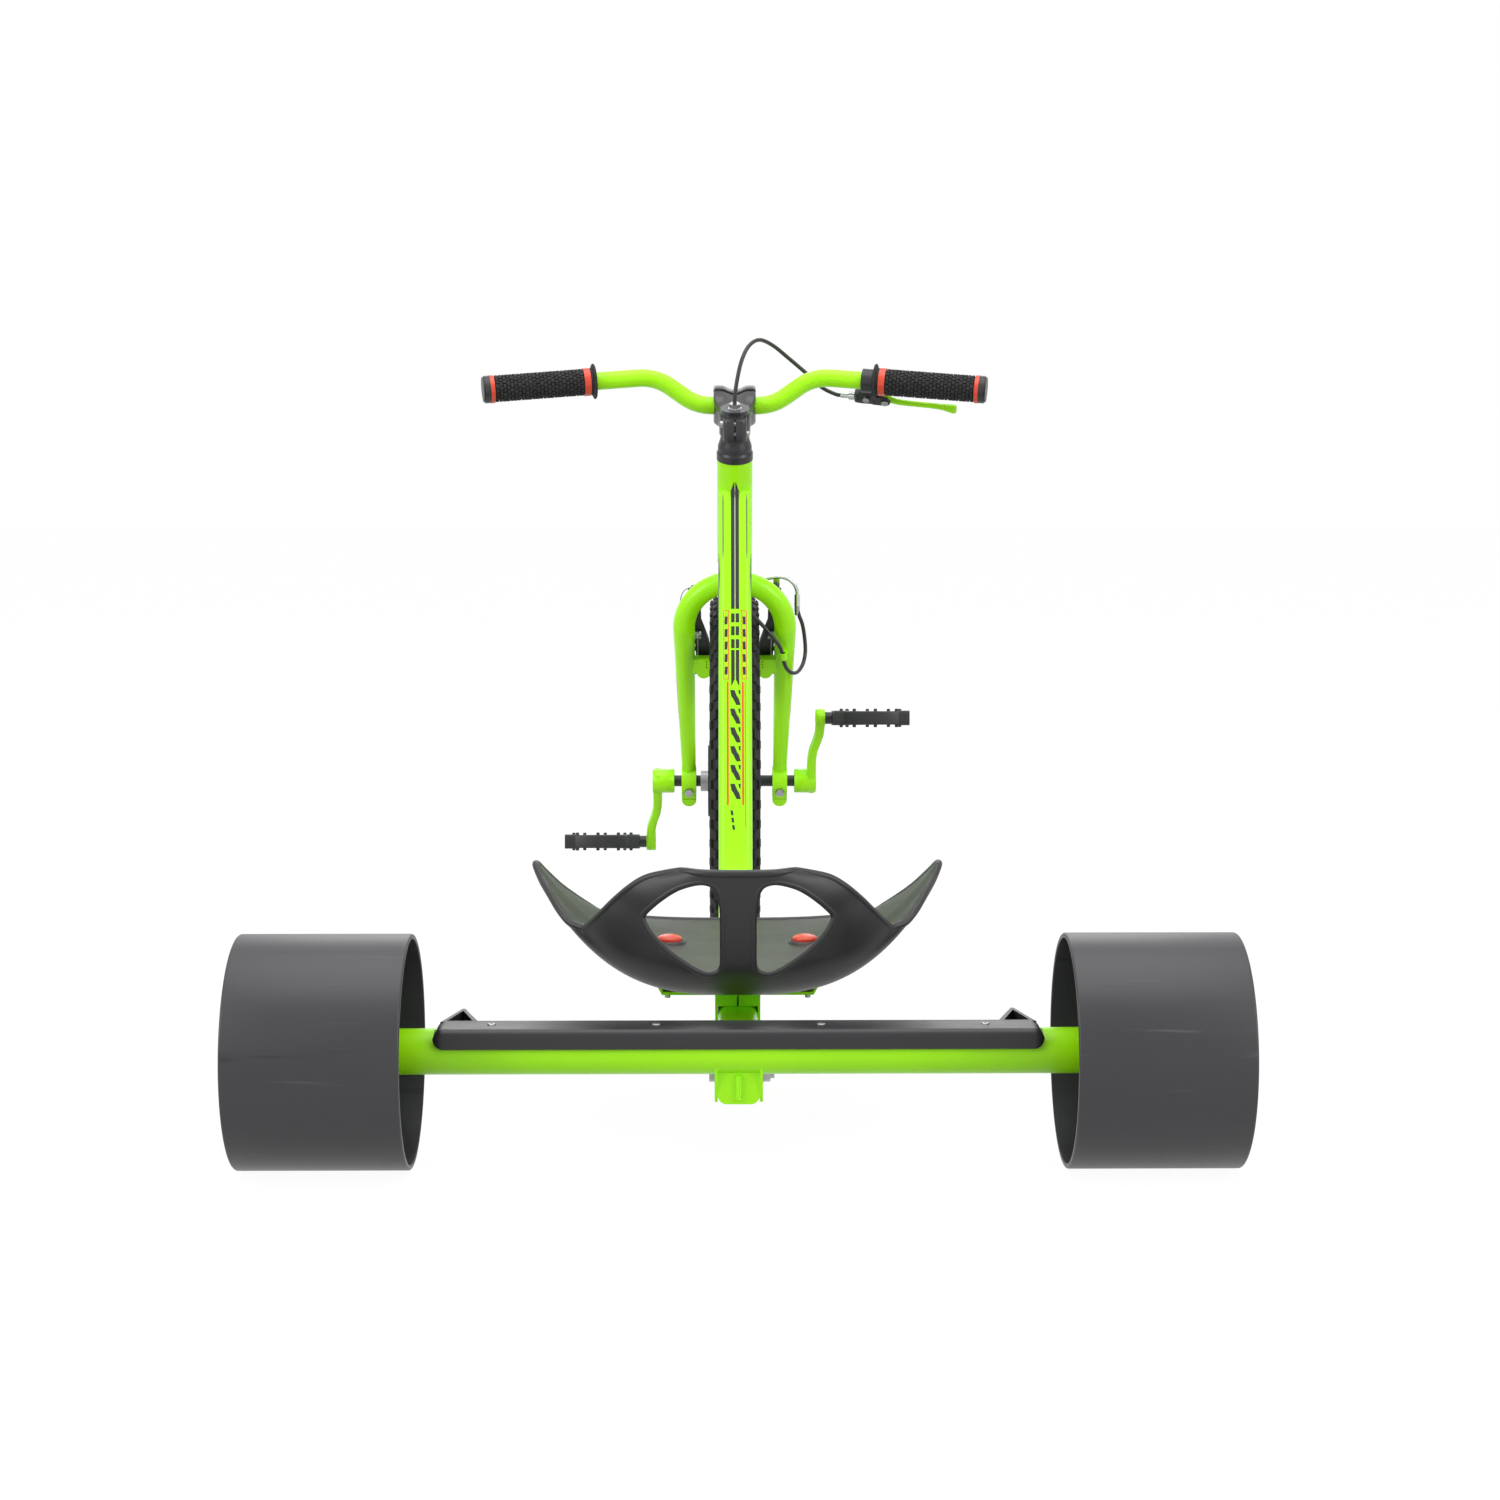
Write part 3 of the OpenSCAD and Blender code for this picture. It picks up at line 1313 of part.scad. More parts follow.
module drive_disc() color([0.3, 0.3, 0.3]) {
    teeth = 24;
    at_crank(crank_angle) translate([-disc_x - 4, 0, 0]) rotate([90, 0, 90]) linear_extrude(4) difference() {
        polygon([for (k = [0 : teeth - 1]) for (s = [[0, 0], [0.3, 1], [0.5, 1], [0.8, 0]])
            let (a = (k + s[0]) * 360 / teeth, r = disc_r - 4 + 4 * s[1]) [r * cos(a), r * sin(a)]]);
        circle(spindle_r);
    }
}

module hub_washers() color("silver") {
    at_crank(0) {
        translate([-disc_x - 14, 0, 0]) rotate([0, 90, 0]) ring(14, spindle_r, 10);
        translate([disc_x - 5, 0, 0]) rotate([0, 90, 0]) ring(14, spindle_r, 5);
    }
}

module crank() {
    in_x = spindle_half - crank_t;
    difference() {
        union() {
            along_x(boss_x, spindle_half, boss_r);
            hull() {
                translate([0, 0, 8]) along_x(in_x, spindle_half, 11, $fn = 32);
                translate([0, 0, crank_len * 0.45]) along_x(in_x, spindle_half, 8.5, $fn = 32);
            }
            hull() {
                translate([0, 0, crank_len * 0.45]) along_x(in_x, spindle_half, 8.5, $fn = 32);
                translate([crank_step, 0, crank_len * 0.75]) along_x(in_x, spindle_half, 8.5, $fn = 32);
            }
            hull() {
                translate([crank_step, 0, crank_len * 0.75]) along_x(in_x, spindle_half, 8.5, $fn = 32);
                translate([crank_step, 0, crank_len]) along_x(in_x, spindle_half, 11, $fn = 32);
            }
            translate([crank_step, 0, crank_len]) along_x(in_x, spindle_half, 12);
        }
        along_x(0, 200, spindle_r);
        translate([0, 0, crank_len]) along_x(0, 200, pedal_pin_r);
    }
}

module left_crank() color("greenyellow") at_crank(crank_angle + 180) mirror([1, 0, 0]) crank();

module right_crank() color("greenyellow") at_crank(crank_angle) crank();

pedal_seat = spindle_half + crank_step;

module pedal_pin() {
    translate([0, 0, crank_len]) {
        along_x(pedal_seat - crank_t, pedal_in + pedal_w - 8, pedal_pin_r);
        along_x(pedal_seat, pedal_in - 0.4, 8);
    }
}

module pedal_spindles() color([0.2, 0.2, 0.2]) {
    at_crank(crank_angle) pedal_pin();
    at_crank(crank_angle + 180) mirror([1, 0, 0]) pedal_pin();
}

module pedal() {
    window = pedal_l / 2 - 20;
    difference() {
        union() {
            translate([pedal_in, -pedal_l / 2, -pedal_h / 2]) cube([pedal_w, pedal_l, pedal_h]);
            for (x = [12, pedal_w / 2, pedal_w - 12]) for (y = [-1, 1])
                translate([pedal_in + x, y * (pedal_l / 2 - 5), -pedal_h / 2 - 2])
                    cylinder(h = pedal_h + 4, r = 2);
        }
        for (y = [-1, 1]) for (x = [0, 1])
            translate([pedal_in + 8 + x * (pedal_w / 2 - 4), y * (window / 2 + 10) - window / 2, -pedal_h])
                cube([pedal_w / 2 - 12, window, 2 * pedal_h]);
        along_x(pedal_in - 1, pedal_in + pedal_w - 4, pedal_pin_r + run_gap);
        for (y = [-1, 1]) for (z = [-1, 1]) translate([pedal_in - 1, y * (pedal_l / 2 + 4), z * (pedal_h / 2 + 4)])
            rotate([0, 90, 0]) cylinder(h = pedal_w + 2, r = 6);
    }
}

module pedal_place(side) {
    turn = side > 0 ? crank_angle : crank_angle + 180;
    translate([0, hub_y - crank_len * sin(turn), tyre_r + crank_len * cos(turn)]) children();
}

module left_pedal() color([0.16, 0.16, 0.17]) pedal_place(-1) mirror([1, 0, 0]) pedal();

module right_pedal() color([0.16, 0.16, 0.17]) pedal_place(1) pedal();

main_frame();
rear_axle_frame();
frame_bolts();
frame_nuts();
axle_pad();
pad_screws();
headset_bearings();
drum_bearings();
axle_nuts();
left_rear_drum();
right_rear_drum();
seat_shell();
seat_plate();
seat_clamp();
seat_bolts();
seat_spacers();
seat_washers();
clamp_pin();
clamp_lever();
fork();
fork_end_bolts();
spindle_bearings();
headset_cover();
headset_spacer();
stem();
stem_faceplate();
stem_bolts();
steerer_cap();
cap_bolt();
handlebar();
left_grip();
right_grip();
grip_rings();
bar_plugs();
lever_housing();
lever_bolts();
barrel_adjuster();
lever_blade();
brake_cable();
cable_clip();
brake_pivot_bolts();
brake_springs();
left_brake_arm();
left_brake_pad();
brake_wire();
right_brake_arm();
right_brake_pad();
cable_noodle();
front_tyre();
front_rim();
front_spokes();
front_hub();
hub_washers();
crank_spindle();
drive_disc();
left_crank();
right_crank();
pedal_spindles();
left_pedal();
right_pedal();
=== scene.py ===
import json
from math import acos, asin, ceil, cos, pi, radians, sin, sqrt, tan

import bmesh
import bpy
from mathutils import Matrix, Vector


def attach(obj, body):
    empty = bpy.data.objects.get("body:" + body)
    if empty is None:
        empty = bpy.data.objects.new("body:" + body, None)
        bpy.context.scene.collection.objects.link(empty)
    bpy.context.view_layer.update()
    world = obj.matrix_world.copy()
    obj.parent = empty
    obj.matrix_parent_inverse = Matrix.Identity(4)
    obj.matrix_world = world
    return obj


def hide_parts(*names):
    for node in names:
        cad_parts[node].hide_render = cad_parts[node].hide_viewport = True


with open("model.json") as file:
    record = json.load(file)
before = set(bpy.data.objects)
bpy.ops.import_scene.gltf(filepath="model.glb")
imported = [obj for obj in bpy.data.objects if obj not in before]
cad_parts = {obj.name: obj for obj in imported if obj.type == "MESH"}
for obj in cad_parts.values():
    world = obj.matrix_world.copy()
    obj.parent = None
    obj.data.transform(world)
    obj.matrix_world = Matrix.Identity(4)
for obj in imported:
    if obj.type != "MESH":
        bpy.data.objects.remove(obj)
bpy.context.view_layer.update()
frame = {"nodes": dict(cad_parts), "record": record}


# Studio -----------------------------------------------------------------
# A pale paper sweep under large soft lamps. The paper is lit like the
# trike, and reads as white to the camera and to what mirrors it.

class Wire:
    """A node's output. Arithmetic on it adds Math nodes to its finish."""

    def __init__(self, finish, socket):
        self.finish = finish
        self.socket = socket

    def math(self, operation, *values):
        return self.finish.node("Math", {"operation": operation}, dict(enumerate(values)))

    def __add__(self, other):
        return self.math("ADD", self, other)

    def __sub__(self, other):
        return self.math("SUBTRACT", self, other)

    def __rsub__(self, other):
        return self.math("SUBTRACT", other, self)

    def __mul__(self, other):
        return self.math("MULTIPLY", self, other)

    def __truediv__(self, other):
        return self.math("DIVIDE", self, other)

    def __gt__(self, other):
        return self.math("GREATER_THAN", self, other)

    def __lt__(self, other):
        return self.math("LESS_THAN", self, other)

    def __abs__(self):
        return self.math("ABSOLUTE", self)

    __radd__ = __add__
    __rmul__ = __mul__


class Finish:
    """The node tree of one finish: a material's, or the world's."""

    def __init__(self, tree):
        self.tree = tree
        tree.nodes.clear()

    def node(self, kind, settings=None, sockets=None, out=0):
        made = self.tree.nodes.new("ShaderNode" + kind)
        for name, value in (settings or {}).items():
            if name == "stops":
                ramp = made.color_ramp
                while len(ramp.elements) < len(value):
                    ramp.elements.new(1.0)
                for element, (position, color) in zip(ramp.elements, value):
                    element.position = position
                    element.color = (*color, 1.0)
            else:
                setattr(made, name, value)
        for name, value in (sockets or {}).items():
            if isinstance(value, Wire):
                self.tree.links.new(value.socket, made.inputs[name])
            else:
                made.inputs[name].default_value = value
        return Wire(self, made.outputs[out]) if made.outputs else None


sweep_size = 40.0
white_share = 0.85
scene = bpy.context.scene
scene.view_settings.view_transform = "Standard"

world = bpy.data.worlds.new("studio")
scene.world = world
world.use_nodes = True
sky = Finish(world.node_tree)
seen = sky.node("LightPath")
glossy = sky.node("LightPath", out="Is Glossy Ray")
through = sky.node("LightPath", out="Is Transmission Ray")
shown = seen.math("MAXIMUM", seen, glossy.math("MAXIMUM", glossy, through))
fill = sky.node("Background", sockets={"Color": (1, 1, 1, 1), "Strength": 0.56})
white = sky.node("Background", sockets={"Color": (1, 1, 1, 1), "Strength": 1.0})
sky.node("OutputWorld", sockets={
    "Surface": sky.node("MixShader", sockets={0: shown, 1: fill, 2: white})})


def lamp(name, place, target, size, watts):
    light = bpy.data.lights.new(name, "AREA")
    light.shape = "RECTANGLE"
    light.size, light.size_y = size
    light.energy = watts
    lamp_object = bpy.data.objects.new(name, light)
    scene.collection.objects.link(lamp_object)
    lamp_object.location = place
    lamp_object.rotation_euler = (Vector(target) - Vector(place)).to_track_quat("-Z", "Y").to_euler()


middle = (0.0, 0.0, 0.4)
lamp("overhead", (0.0, -0.4, 3.4), middle, (3.2, 3.2), 72)
lamp("left_soft", (-3.2, -2.2, 1.9), middle, (2.0, 2.4), 68)
lamp("right_soft", (3.2, -2.2, 1.9), middle, (2.0, 2.4), 62)
lamp("front_soft", (0.0, 3.6, 2.2), middle, (2.6, 2.0), 30)

bpy.ops.mesh.primitive_plane_add(size=sweep_size)
sweep = bpy.context.object
sweep.name = "paper_sweep"
paper_material = bpy.data.materials.new("paper")
paper_material.use_nodes = True
paper = Finish(paper_material.node_tree)
camera_ray = paper.node("LightPath")
mirror_ray = paper.node("LightPath", out="Is Glossy Ray")
lit = paper.node("BsdfDiffuse", sockets={"Color": (0.5, 0.5, 0.5, 1)})
bright = paper.node("Emission", sockets={"Color": (1, 1, 1, 1), "Strength": 1.12})
paper_seen = camera_ray.math("MAXIMUM", camera_ray, mirror_ray) * white_share
paper.node("OutputMaterial", sockets={
    "Surface": paper.node("MixShader", sockets={0: paper_seen, 1: lit, 2: bright})})
sweep.data.materials.append(paper_material)

# The camera stands behind the trike, a little over the seat, and looks slightly down
camera_place = (-0.0146, -3.127, 0.699)
camera_down, camera_roll = 0.113, -0.01
camera_data = bpy.data.cameras.new("camera")
camera_data.sensor_width = 36.0
camera_data.lens = 64.3
camera = bpy.data.objects.new("camera", camera_data)
scene.collection.objects.link(camera)
camera.location = camera_place
camera.rotation_euler = (pi / 2 - camera_down, 0.0, camera_roll)
scene.camera = camera



# Main tube and welded frame --------------------------------------------
# One bent box tube, with the head tube welded on top and the rear beam's
# brackets bolted through its tail, powder coated in bright green.

joints = {joint["name"]: joint for joint in frame["record"]["behaviour"]["joints"]}
hub = Vector(joints["crank_spin"]["pos_m"])
axle = Vector((0, *joints["right_rear_spin"]["pos_m"][1:]))
steer_up = Vector(joints["steer"]["axis"])
steer_fore = Vector((0, steer_up.z, -steer_up.y))
fork_offset = 0.035
head = hub - fork_offset * steer_fore


def finish(name, **fixed):
    """A material on a Principled shader, whose fixed sockets are set here."""
    material = bpy.data.materials.new(name)
    material.use_nodes = True
    made = Finish(material.node_tree)
    made.material = material
    made.shader = made.tree.nodes.new("ShaderNodeBsdfPrincipled")
    for socket, value in fixed.items():
        made.shader.inputs[socket.replace("_", " ")].default_value = value
    output = made.tree.nodes.new("ShaderNodeOutputMaterial")
    made.tree.links.new(made.shader.outputs[0], output.inputs[0])
    made.place = made.node("TexCoord", out="Object")
    return made


def feed(made, **wires):
    for socket, wire in wires.items():
        made.tree.links.new(wire.socket, made.shader.inputs[socket.replace("_", " ")])


def mix(made, factor, first, second):
    """Between two colours, each a triple or a wire."""
    first, second = (c if isinstance(c, Wire) else (*c, 1.0) for c in (first, second))
    return made.node("Mix", {"data_type": "RGBA"}, {0: factor, 6: first, 7: second}, out=2)


def noise(made, scale, detail=3.0, stretch=(1, 1, 1)):
    where = made.node("VectorMath", {"operation": "MULTIPLY"}, {0: made.place, 1: stretch})
    return made.node("TexNoise", sockets={"Vector": where, "Scale": scale, "Detail": detail})


def ramp(made, wire, *stops):
    """A grey ramp through (position, value) stops."""
    return made.node("ValToRGB", {"stops": [(at, (v, v, v)) for at, v in stops]}, {0: wire})


def bump(made, height, distance, strength=1.0):
    feed(made, Normal=made.node("Bump", sockets={
        "Height": height, "Distance": distance, "Strength": strength}))


def cloudy(name, dark, light, cloud, rough, stretch=(1, 1, 1), **fixed):
    """A finish that drifts between two colours by cloud, a noise's scale and detail. rough
    is the least roughness, how far it wanders and the scale of that."""
    made = finish(name, **fixed)
    least, spread, scale = rough
    feed(made, Base_Color=mix(made, noise(made, *cloud), dark, light),
         Roughness=least + spread * noise(made, scale, stretch=stretch))
    return made


def dusty_rubber(name, dust_noise, dust_from, share, dust, rough, grain):
    """Black rubber with pale dust over a share of it, and a fine rough skin."""
    made = finish(name, Specular_IOR_Level=0.35)
    least, spread, scale = rough
    cover = ramp(made, noise(made, *dust_noise), (dust_from, 0.0), (dust_from + 0.3, 1.0))
    feed(made, Base_Color=mix(made, cover * share, (0.016, 0.016, 0.017), dust),
         Roughness=least + spread * noise(made, scale))
    bump(made, noise(made, grain), 0.0002, 0.5)
    return made


def dress(made, *nodes):
    """Gives CAD nodes this finish."""
    for name in nodes:
        for slot in frame["nodes"][name].material_slots:
            slot.material = made.material


def add(name, points, faces, made, body, crease=35):
    """A mesh piece that rides on a body, smooth below the crease angle."""
    mesh = bpy.data.meshes.new(name)
    mesh.from_pydata([tuple(p) for p in points], [], faces)
    work = bmesh.new()
    work.from_mesh(mesh)
    bmesh.ops.remove_doubles(work, verts=work.verts, dist=1e-6)
    bmesh.ops.recalc_face_normals(work, faces=work.faces)
    work.to_mesh(mesh)
    work.free()
    mesh.shade_smooth()
    mesh.set_sharp_from_angle(angle=radians(crease))
    mesh.materials.append(made.material)
    piece = bpy.data.objects.new(name, mesh)
    scene.collection.objects.link(piece)
    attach(piece, body)
    return piece


def circle(count):
    """The cosine and sine of count even steps round a circle."""
    return [(cos(2 * pi * k / count), sin(2 * pi * k / count)) for k in range(count)]


def mm(*rows):
    """Rows of millimetres as metres."""
    return [tuple(value / 1000 for value in row) for row in rows]


class Shape:
    """Points and faces that several forms are gathered in before they become one piece."""

    def __init__(self):
        self.points, self.faces = [], []

    def take(self, points, faces):
        start = len(self.points)
        self.points += [Vector(p) for p in points]
        self.faces += [[start + i for i in face] for face in faces]
        return self

    def rings(self, rings, caps=True, closed=False):
        """A skin over rings of equal length, open or closed end to end."""
        count, size = len(rings), len(rings[0])
        faces = []
        for i in range(count if closed else count - 1):
            for k in range(size):
                a, b = i * size + k, i * size + (k + 1) % size
                c, d = (a + size) % (count * size), (b + size) % (count * size)
                faces.append([a, b, d, c])
        if caps and not closed:
            faces += [list(range(size))[::-1], list(range((count - 1) * size, count * size))]
        return self.take([p for ring in rings for p in ring], faces)

    def sheet(self, rows):
        """An open sheet over rows of points."""
        size = len(rows[0])
        faces = [[i * size + k, i * size + k + 1, (i + 1) * size + k + 1, (i + 1) * size + k]
                 for i in range(len(rows) - 1) for k in range(size - 1)]
        return self.take([p for row in rows for p in row], faces)

    def tube(self, path, radius, sides=16, caps=True, closed=False):
        """A round tube along a path. radius is one number, or one for each point."""
        path = [Vector(p) for p in path]
        count = len(path)
        sizes = radius if isinstance(radius, list) else [radius] * count
        rings, side, turns = [], None, circle(sides)
        for i, p in enumerate(path):
            after = path[(i + 1) % count] if closed else path[min(i + 1, count - 1)]
            before = path[i - 1] if closed or i else path[0]
            along = (after - before).normalized()
            if side is None:
                side = along.orthogonal().normalized()
            side = (side - side.dot(along) * along).normalized()
            up = along.cross(side)
            rings.append([p + sizes[i] * (c * side + s * up) for c, s in turns])
        return self.rings(rings, caps, closed)

    def lathe(self, profile, centre, axis, sides=48, closed=False):
        """Turns a profile of (along, radius) about an axis through centre."""
        axis = Vector(axis).normalized()
        side = axis.orthogonal().normalized()
        up = axis.cross(side)
        rings = [[Vector(centre) + along * axis + r * (c * side + s * up) for c, s in circle(sides)]
                 for along, r in profile]
        return self.rings(rings, not closed, closed)

    def block(self, centre, across, along, up, chamfer=0.0):
        """A box with chamfered top edges: half sizes are the lengths of its three vectors."""
        centre, across, along, up = (Vector(v) for v in (centre, across, along, up))
        rings = []
        for height, inset in ((-1, 0), (1 - chamfer, 0), (1, chamfer)):
            shrink = 1 - inset
            rings.append([centre + height * up + shrink * (sx * across + sy * along)
                          for sx, sy in ((-1, -1), (1, -1), (1, 1), (-1, 1))])
        return self.rings(rings)

    def piece(self, name, made, body, slot, crease=35):
        return add(name, self.points, self.faces, made, body, crease)


both = (-1, 1)
sides = (("left", -1), ("right", 1))
paint_green = (0.385, 0.94, 0.004)


# Powder coat: a slightly cloudy colour, soft orange peel and a clear gloss
green = finish("green_paint", Specular_IOR_Level=0.25, Coat_Weight=0.15, Coat_Roughness=0.12)
paint_cloud = ramp(green, noise(green, 9.0, 4.0), (0.35, 0.0), (0.7, 1.0))
feed(green, Base_Color=mix(green, paint_cloud, paint_green, tuple(0.93 * c for c in paint_green)),
     Roughness=0.24 + 0.16 * noise(green, 40.0))
bump(green, noise(green, 700.0, 2.0), 0.00012, 0.4)
dress(green, "main_frame", "rear_axle_frame")


def weld(name, path, body, radius=0.0023):
    """A bead of overlapping ripples along a joint."""
    ripple = 0.0018
    path = [Vector(p) for p in path]
    dense, sizes = [], []
    for a, b in zip(path, path[1:]):
        steps = max(2, ceil((b - a).length / ripple * 3))
        for k in range(steps):
            dense.append(a.lerp(b, k / steps))
    dense.append(path[-1])
    for i in range(len(dense)):
        sizes.append(radius * (0.84 + 0.16 * abs(sin(pi * i / 3))))
    sizes[0] = sizes[-1] = 0.3 * radius
    return Shape().tube(dense, sizes, 8).piece(name, green, body, "frame_green", 60)


tube_width, tube_depth, tube_corner = 0.041, 0.056, 0.009
tube_rise = radians(70)
tube_gap = 0.019
tyre_radius = hub.z
head_low, head_radius = 0.335, 0.022
tube_along = Vector((0, cos(tube_rise), sin(tube_rise)))
tube_back = Vector((0, -sin(tube_rise), cos(tube_rise)))
tube_middle = hub + (tyre_radius + tube_gap + tube_depth / 2) * tube_back


def on_tube(x, along, proud=0.00012):
    """A point on the rising tube's rear face and round its corners, as far as a flank."""
    flat = tube_width / 2 - tube_corner
    over = min(max((abs(x) - flat) / tube_corner, 0.0), pi / 2)
    side = (min(abs(x), flat) + (tube_corner + proud) * sin(over)) * (1 if x >= 0 else -1)
    down = tube_corner * pi / 2 + flat
    deep = max(abs(x) - down, 0.0)
    depth = tube_depth / 2 - tube_corner + (tube_corner + proud) * cos(over) - deep
    point = tube_middle + along * tube_along + depth * tube_back + Vector((side, 0, 0))
    # Where the head tube stands proud of the box tube, the point lies on the head tube
    up = (point - head).dot(steer_up)
    off = point - head - up * steer_up
    skin = head_radius + proud
    if up > head_low and off.length < skin:
        point = head + up * steer_up + Vector((side, 0, 0)) - sqrt(skin ** 2 - side ** 2) * steer_fore
    return point


def sticker(shape, outline, signs=(1,)):
    """Fills between left and right edges, (along, left, right) rows in millimetres."""
    for sign in signs:
        rows = []
        for (s0, l0, r0), (s1, l1, r1) in zip(outline, outline[1:]):
            steps = max(1, ceil(abs(s1 - s0) / 12))
            rows += [(s0 + (s1 - s0) * k / steps, l0 + (l1 - l0) * k / steps, r0 + (r1 - r0) * k / steps)
                     for k in range(steps)]
        rows.append(outline[-1])
        shape.sheet([[on_tube(sign * (left + (right - left) * k / 6) / 1000, along / 1000) for k in range(7)]
                     for along, left, right in rows])


def vinyl(name, color):
    made = finish(name, Roughness=0.3, Coat_Weight=0.25, Coat_Roughness=0.1)
    scuff = ramp(made, noise(made, 260.0, 4.0), (0.55, 0.0), (0.75, 1.0))
    feed(made, Base_Color=mix(made, scuff * 0.35, color, tuple(0.8 * c + 0.02 for c in color)))
    return made


black_art, red_art, pale_art = Shape(), Shape(), Shape()
# Black spear down the middle with a pale line in it, thin lines at both corners
sticker(black_art, [(311, 0.7, 1.1), (296, 0.7, 4.9), (152, 0.7, 4.9), (141.7, 0.7, 4.9)], both)
sticker(pale_art, [(303, -0.5, 0.5), (145, -0.5, 0.5)])
sticker(black_art, [(292, 14.8, 15.1), (282, 14.1, 15.5), (216, 14.1, 15.5), (206, 14.8, 15.1)], both)
# Flank stripes with leaf-shaped ends
sticker(black_art, [(215, 21.5, 22.1), (185, 19.9, 30.5), (150, 22.7, 33.5), (-60, 27.5, 36.5),
                    (-100, 36, 36.5)], both)
sticker(red_art, [(140, 35, 36.2), (-20, 38, 39.2)], both)
# Three rows of blocks under the spear
for row in range(3):
    top = 136 - 16.5 * row
    sticker(black_art, [(top, 0.7, 4.9), (top - 11.5, 0.7, 4.9)], both)
# Red frames beside the blocks, and slanted bars in them
for low, high, x, wide in ((52, 140, 7.8, 1), (52, 140, 13.6, 1), (-105.4, 48.7, 8.2, 2.1)):
    sticker(red_art, [(high, x, x + wide), (low, x, x + wide)], both)
for low in (52, 139.2):
    sticker(red_art, [(low + 0.8, 7.8, 14.4), (low, 7.8, 14.4)], both)
for k in range(5):
    low = 58 + 16 * k
    sticker(black_art, [(low + 10, 9.2, 12.6), (low, 9.6, 13)], both)
sticker(red_art, [(48.7, 11.8, 12.6), (-133.8, 11.8, 12.6)])
# A second black stripe that ends in a forked tip
sticker(black_art, [(89.3, 0.7, 4.9), (52, 0.7, 4.9), (44, 4.4, 4.9)], both)
# Slanted black bars down the lower panel, and three short ones under them
for k in range(6):
    low = -98 + 23.5 * k
    sticker(black_art, [(low + 19, -6.2, -1), (low + 11, -4.8, 2.2), (low + 8, -2.6, 4.4), (low, 1.4, 6.4)])
    sticker(black_art, [(low + 19, 3.6, 6.2), (low + 13.5, 4.6, 6.2)])
for k in range(3):
    low = -118 - 9 * k
    sticker(black_art, [(low + 6, k - 6.2, k - 3.4), (low, k - 5.2, k - 2.4)])
black_art.piece("tube_stripes_black", vinyl("black_vinyl", (0.012, 0.012, 0.013)), "frame", "frame_green")
red_art.piece("tube_stripes_red", vinyl("red_vinyl", (0.8, 0.07, 0.008)), "frame", "frame_green")
pale_art.piece("tube_line_pale", vinyl("pale_vinyl", (0.45, 0.5, 0.4)), "frame", "frame_green")

# The seam that closes the tube's tail
tail_end, seam_high, seam_low = axle.y - 0.0125, axle.z - 0.021, axle.z - 0.046
weld("tail_seam", [(0, tail_end, seam_high), (0, tail_end, seam_low)], "frame", 0.0034)


# Foot pad on the rear beam ----------------------------------------------
# One long black moulding that wraps the back and top of the beam, with a
# raised stop near each end. Four screws in sunk holes hold it.

grain_size = 1500.0


def moulded_plastic(name, color, rough, streak=0.15):
    """Injection moulded plastic: fine grain, faint flow marks and paler scuffs."""
    made = finish(name, Specular_IOR_Level=0.45)
    flow = noise(made, 14.0, 5.0, (1, 2.5, 1))
    scuff = ramp(made, noise(made, 120.0, 6.0, (0.25, 1, 1)), (0.6, 0.0), (0.78, 1.0))
    pale = tuple(c * 1.5 + 0.012 for c in color)
    feed(made, Base_Color=mix(made, scuff * streak + flow * 0.18, color, pale),
         Roughness=rough - 0.08 + 0.16 * flow + scuff * 0.1)
    bump(made, noise(made, grain_size, 2.0), 0.00018, 0.35)
    return made


black_plastic = moulded_plastic("black_plastic", (0.017, 0.017, 0.019), 0.4)
beam_radius = 0.0225
pad_half = 0.295
pad_top, pad_low = 0.0263, 0.0065
pad_back, pad_front = 0.026, 0.024


def pad_section(shrink):
    """The moulding's section as (forward, up) from the axle, drawn in by shrink."""
    top, low = pad_top - shrink, pad_low + shrink
    back, front = pad_back - shrink * 0.3, pad_front - shrink * 0.3
    outline = []
    start, stop = asin(low / beam_radius), asin(low / beam_radius)
    for k in range(17):
        a = pi - start - (pi - start - stop) * k / 16
        outline.append((beam_radius * cos(a), beam_radius * sin(a)))
    corners = [(front, low, 0.0012), (front, top, 0.006), (-back, top, 0.007), (-back, low, 0.003)]
    turns = ((-pi / 2, 0), (0, pi / 2), (pi / 2, pi), (pi, 3 * pi / 2))
    for (y, z, r), (a0, a1) in zip(corners, turns):
        r = min(r, (top - low) * 0.4)
        cy, cz = y - r * (1 if y > 0 else -1), z - r * (1 if z == top else -1)
        for k in range(6):
            a = a0 + (a1 - a0) * k / 5
            outline.append((cy + r * cos(a), cz + r * sin(a)))
    return outline


pad = Shape()
end_round = 0.010
rings = []
stations = [-pad_half + end_round * (1 - cos(pi / 2 * k / 8)) for k in range(9)]
stations += [-pad_half + end_round + (2 * (pad_half - end_round)) * k / 40 for k in range(1, 40)]
stations += [-x for x in stations[8::-1]]
for x in stations:
    past = max(0.0, abs(x) - (pad_half - end_round))
    shrink = end_round - sqrt(max(end_round ** 2 - past ** 2, 0.0))
    rings.append([axle + Vector((x, y, z)) for y, z in pad_section(min(shrink, 0.0085))])
pad.rings(rings)
pad_piece = pad.piece("axle_pad_moulding", black_plastic, "frame", "black_plastic", 50)
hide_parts("axle_pad")

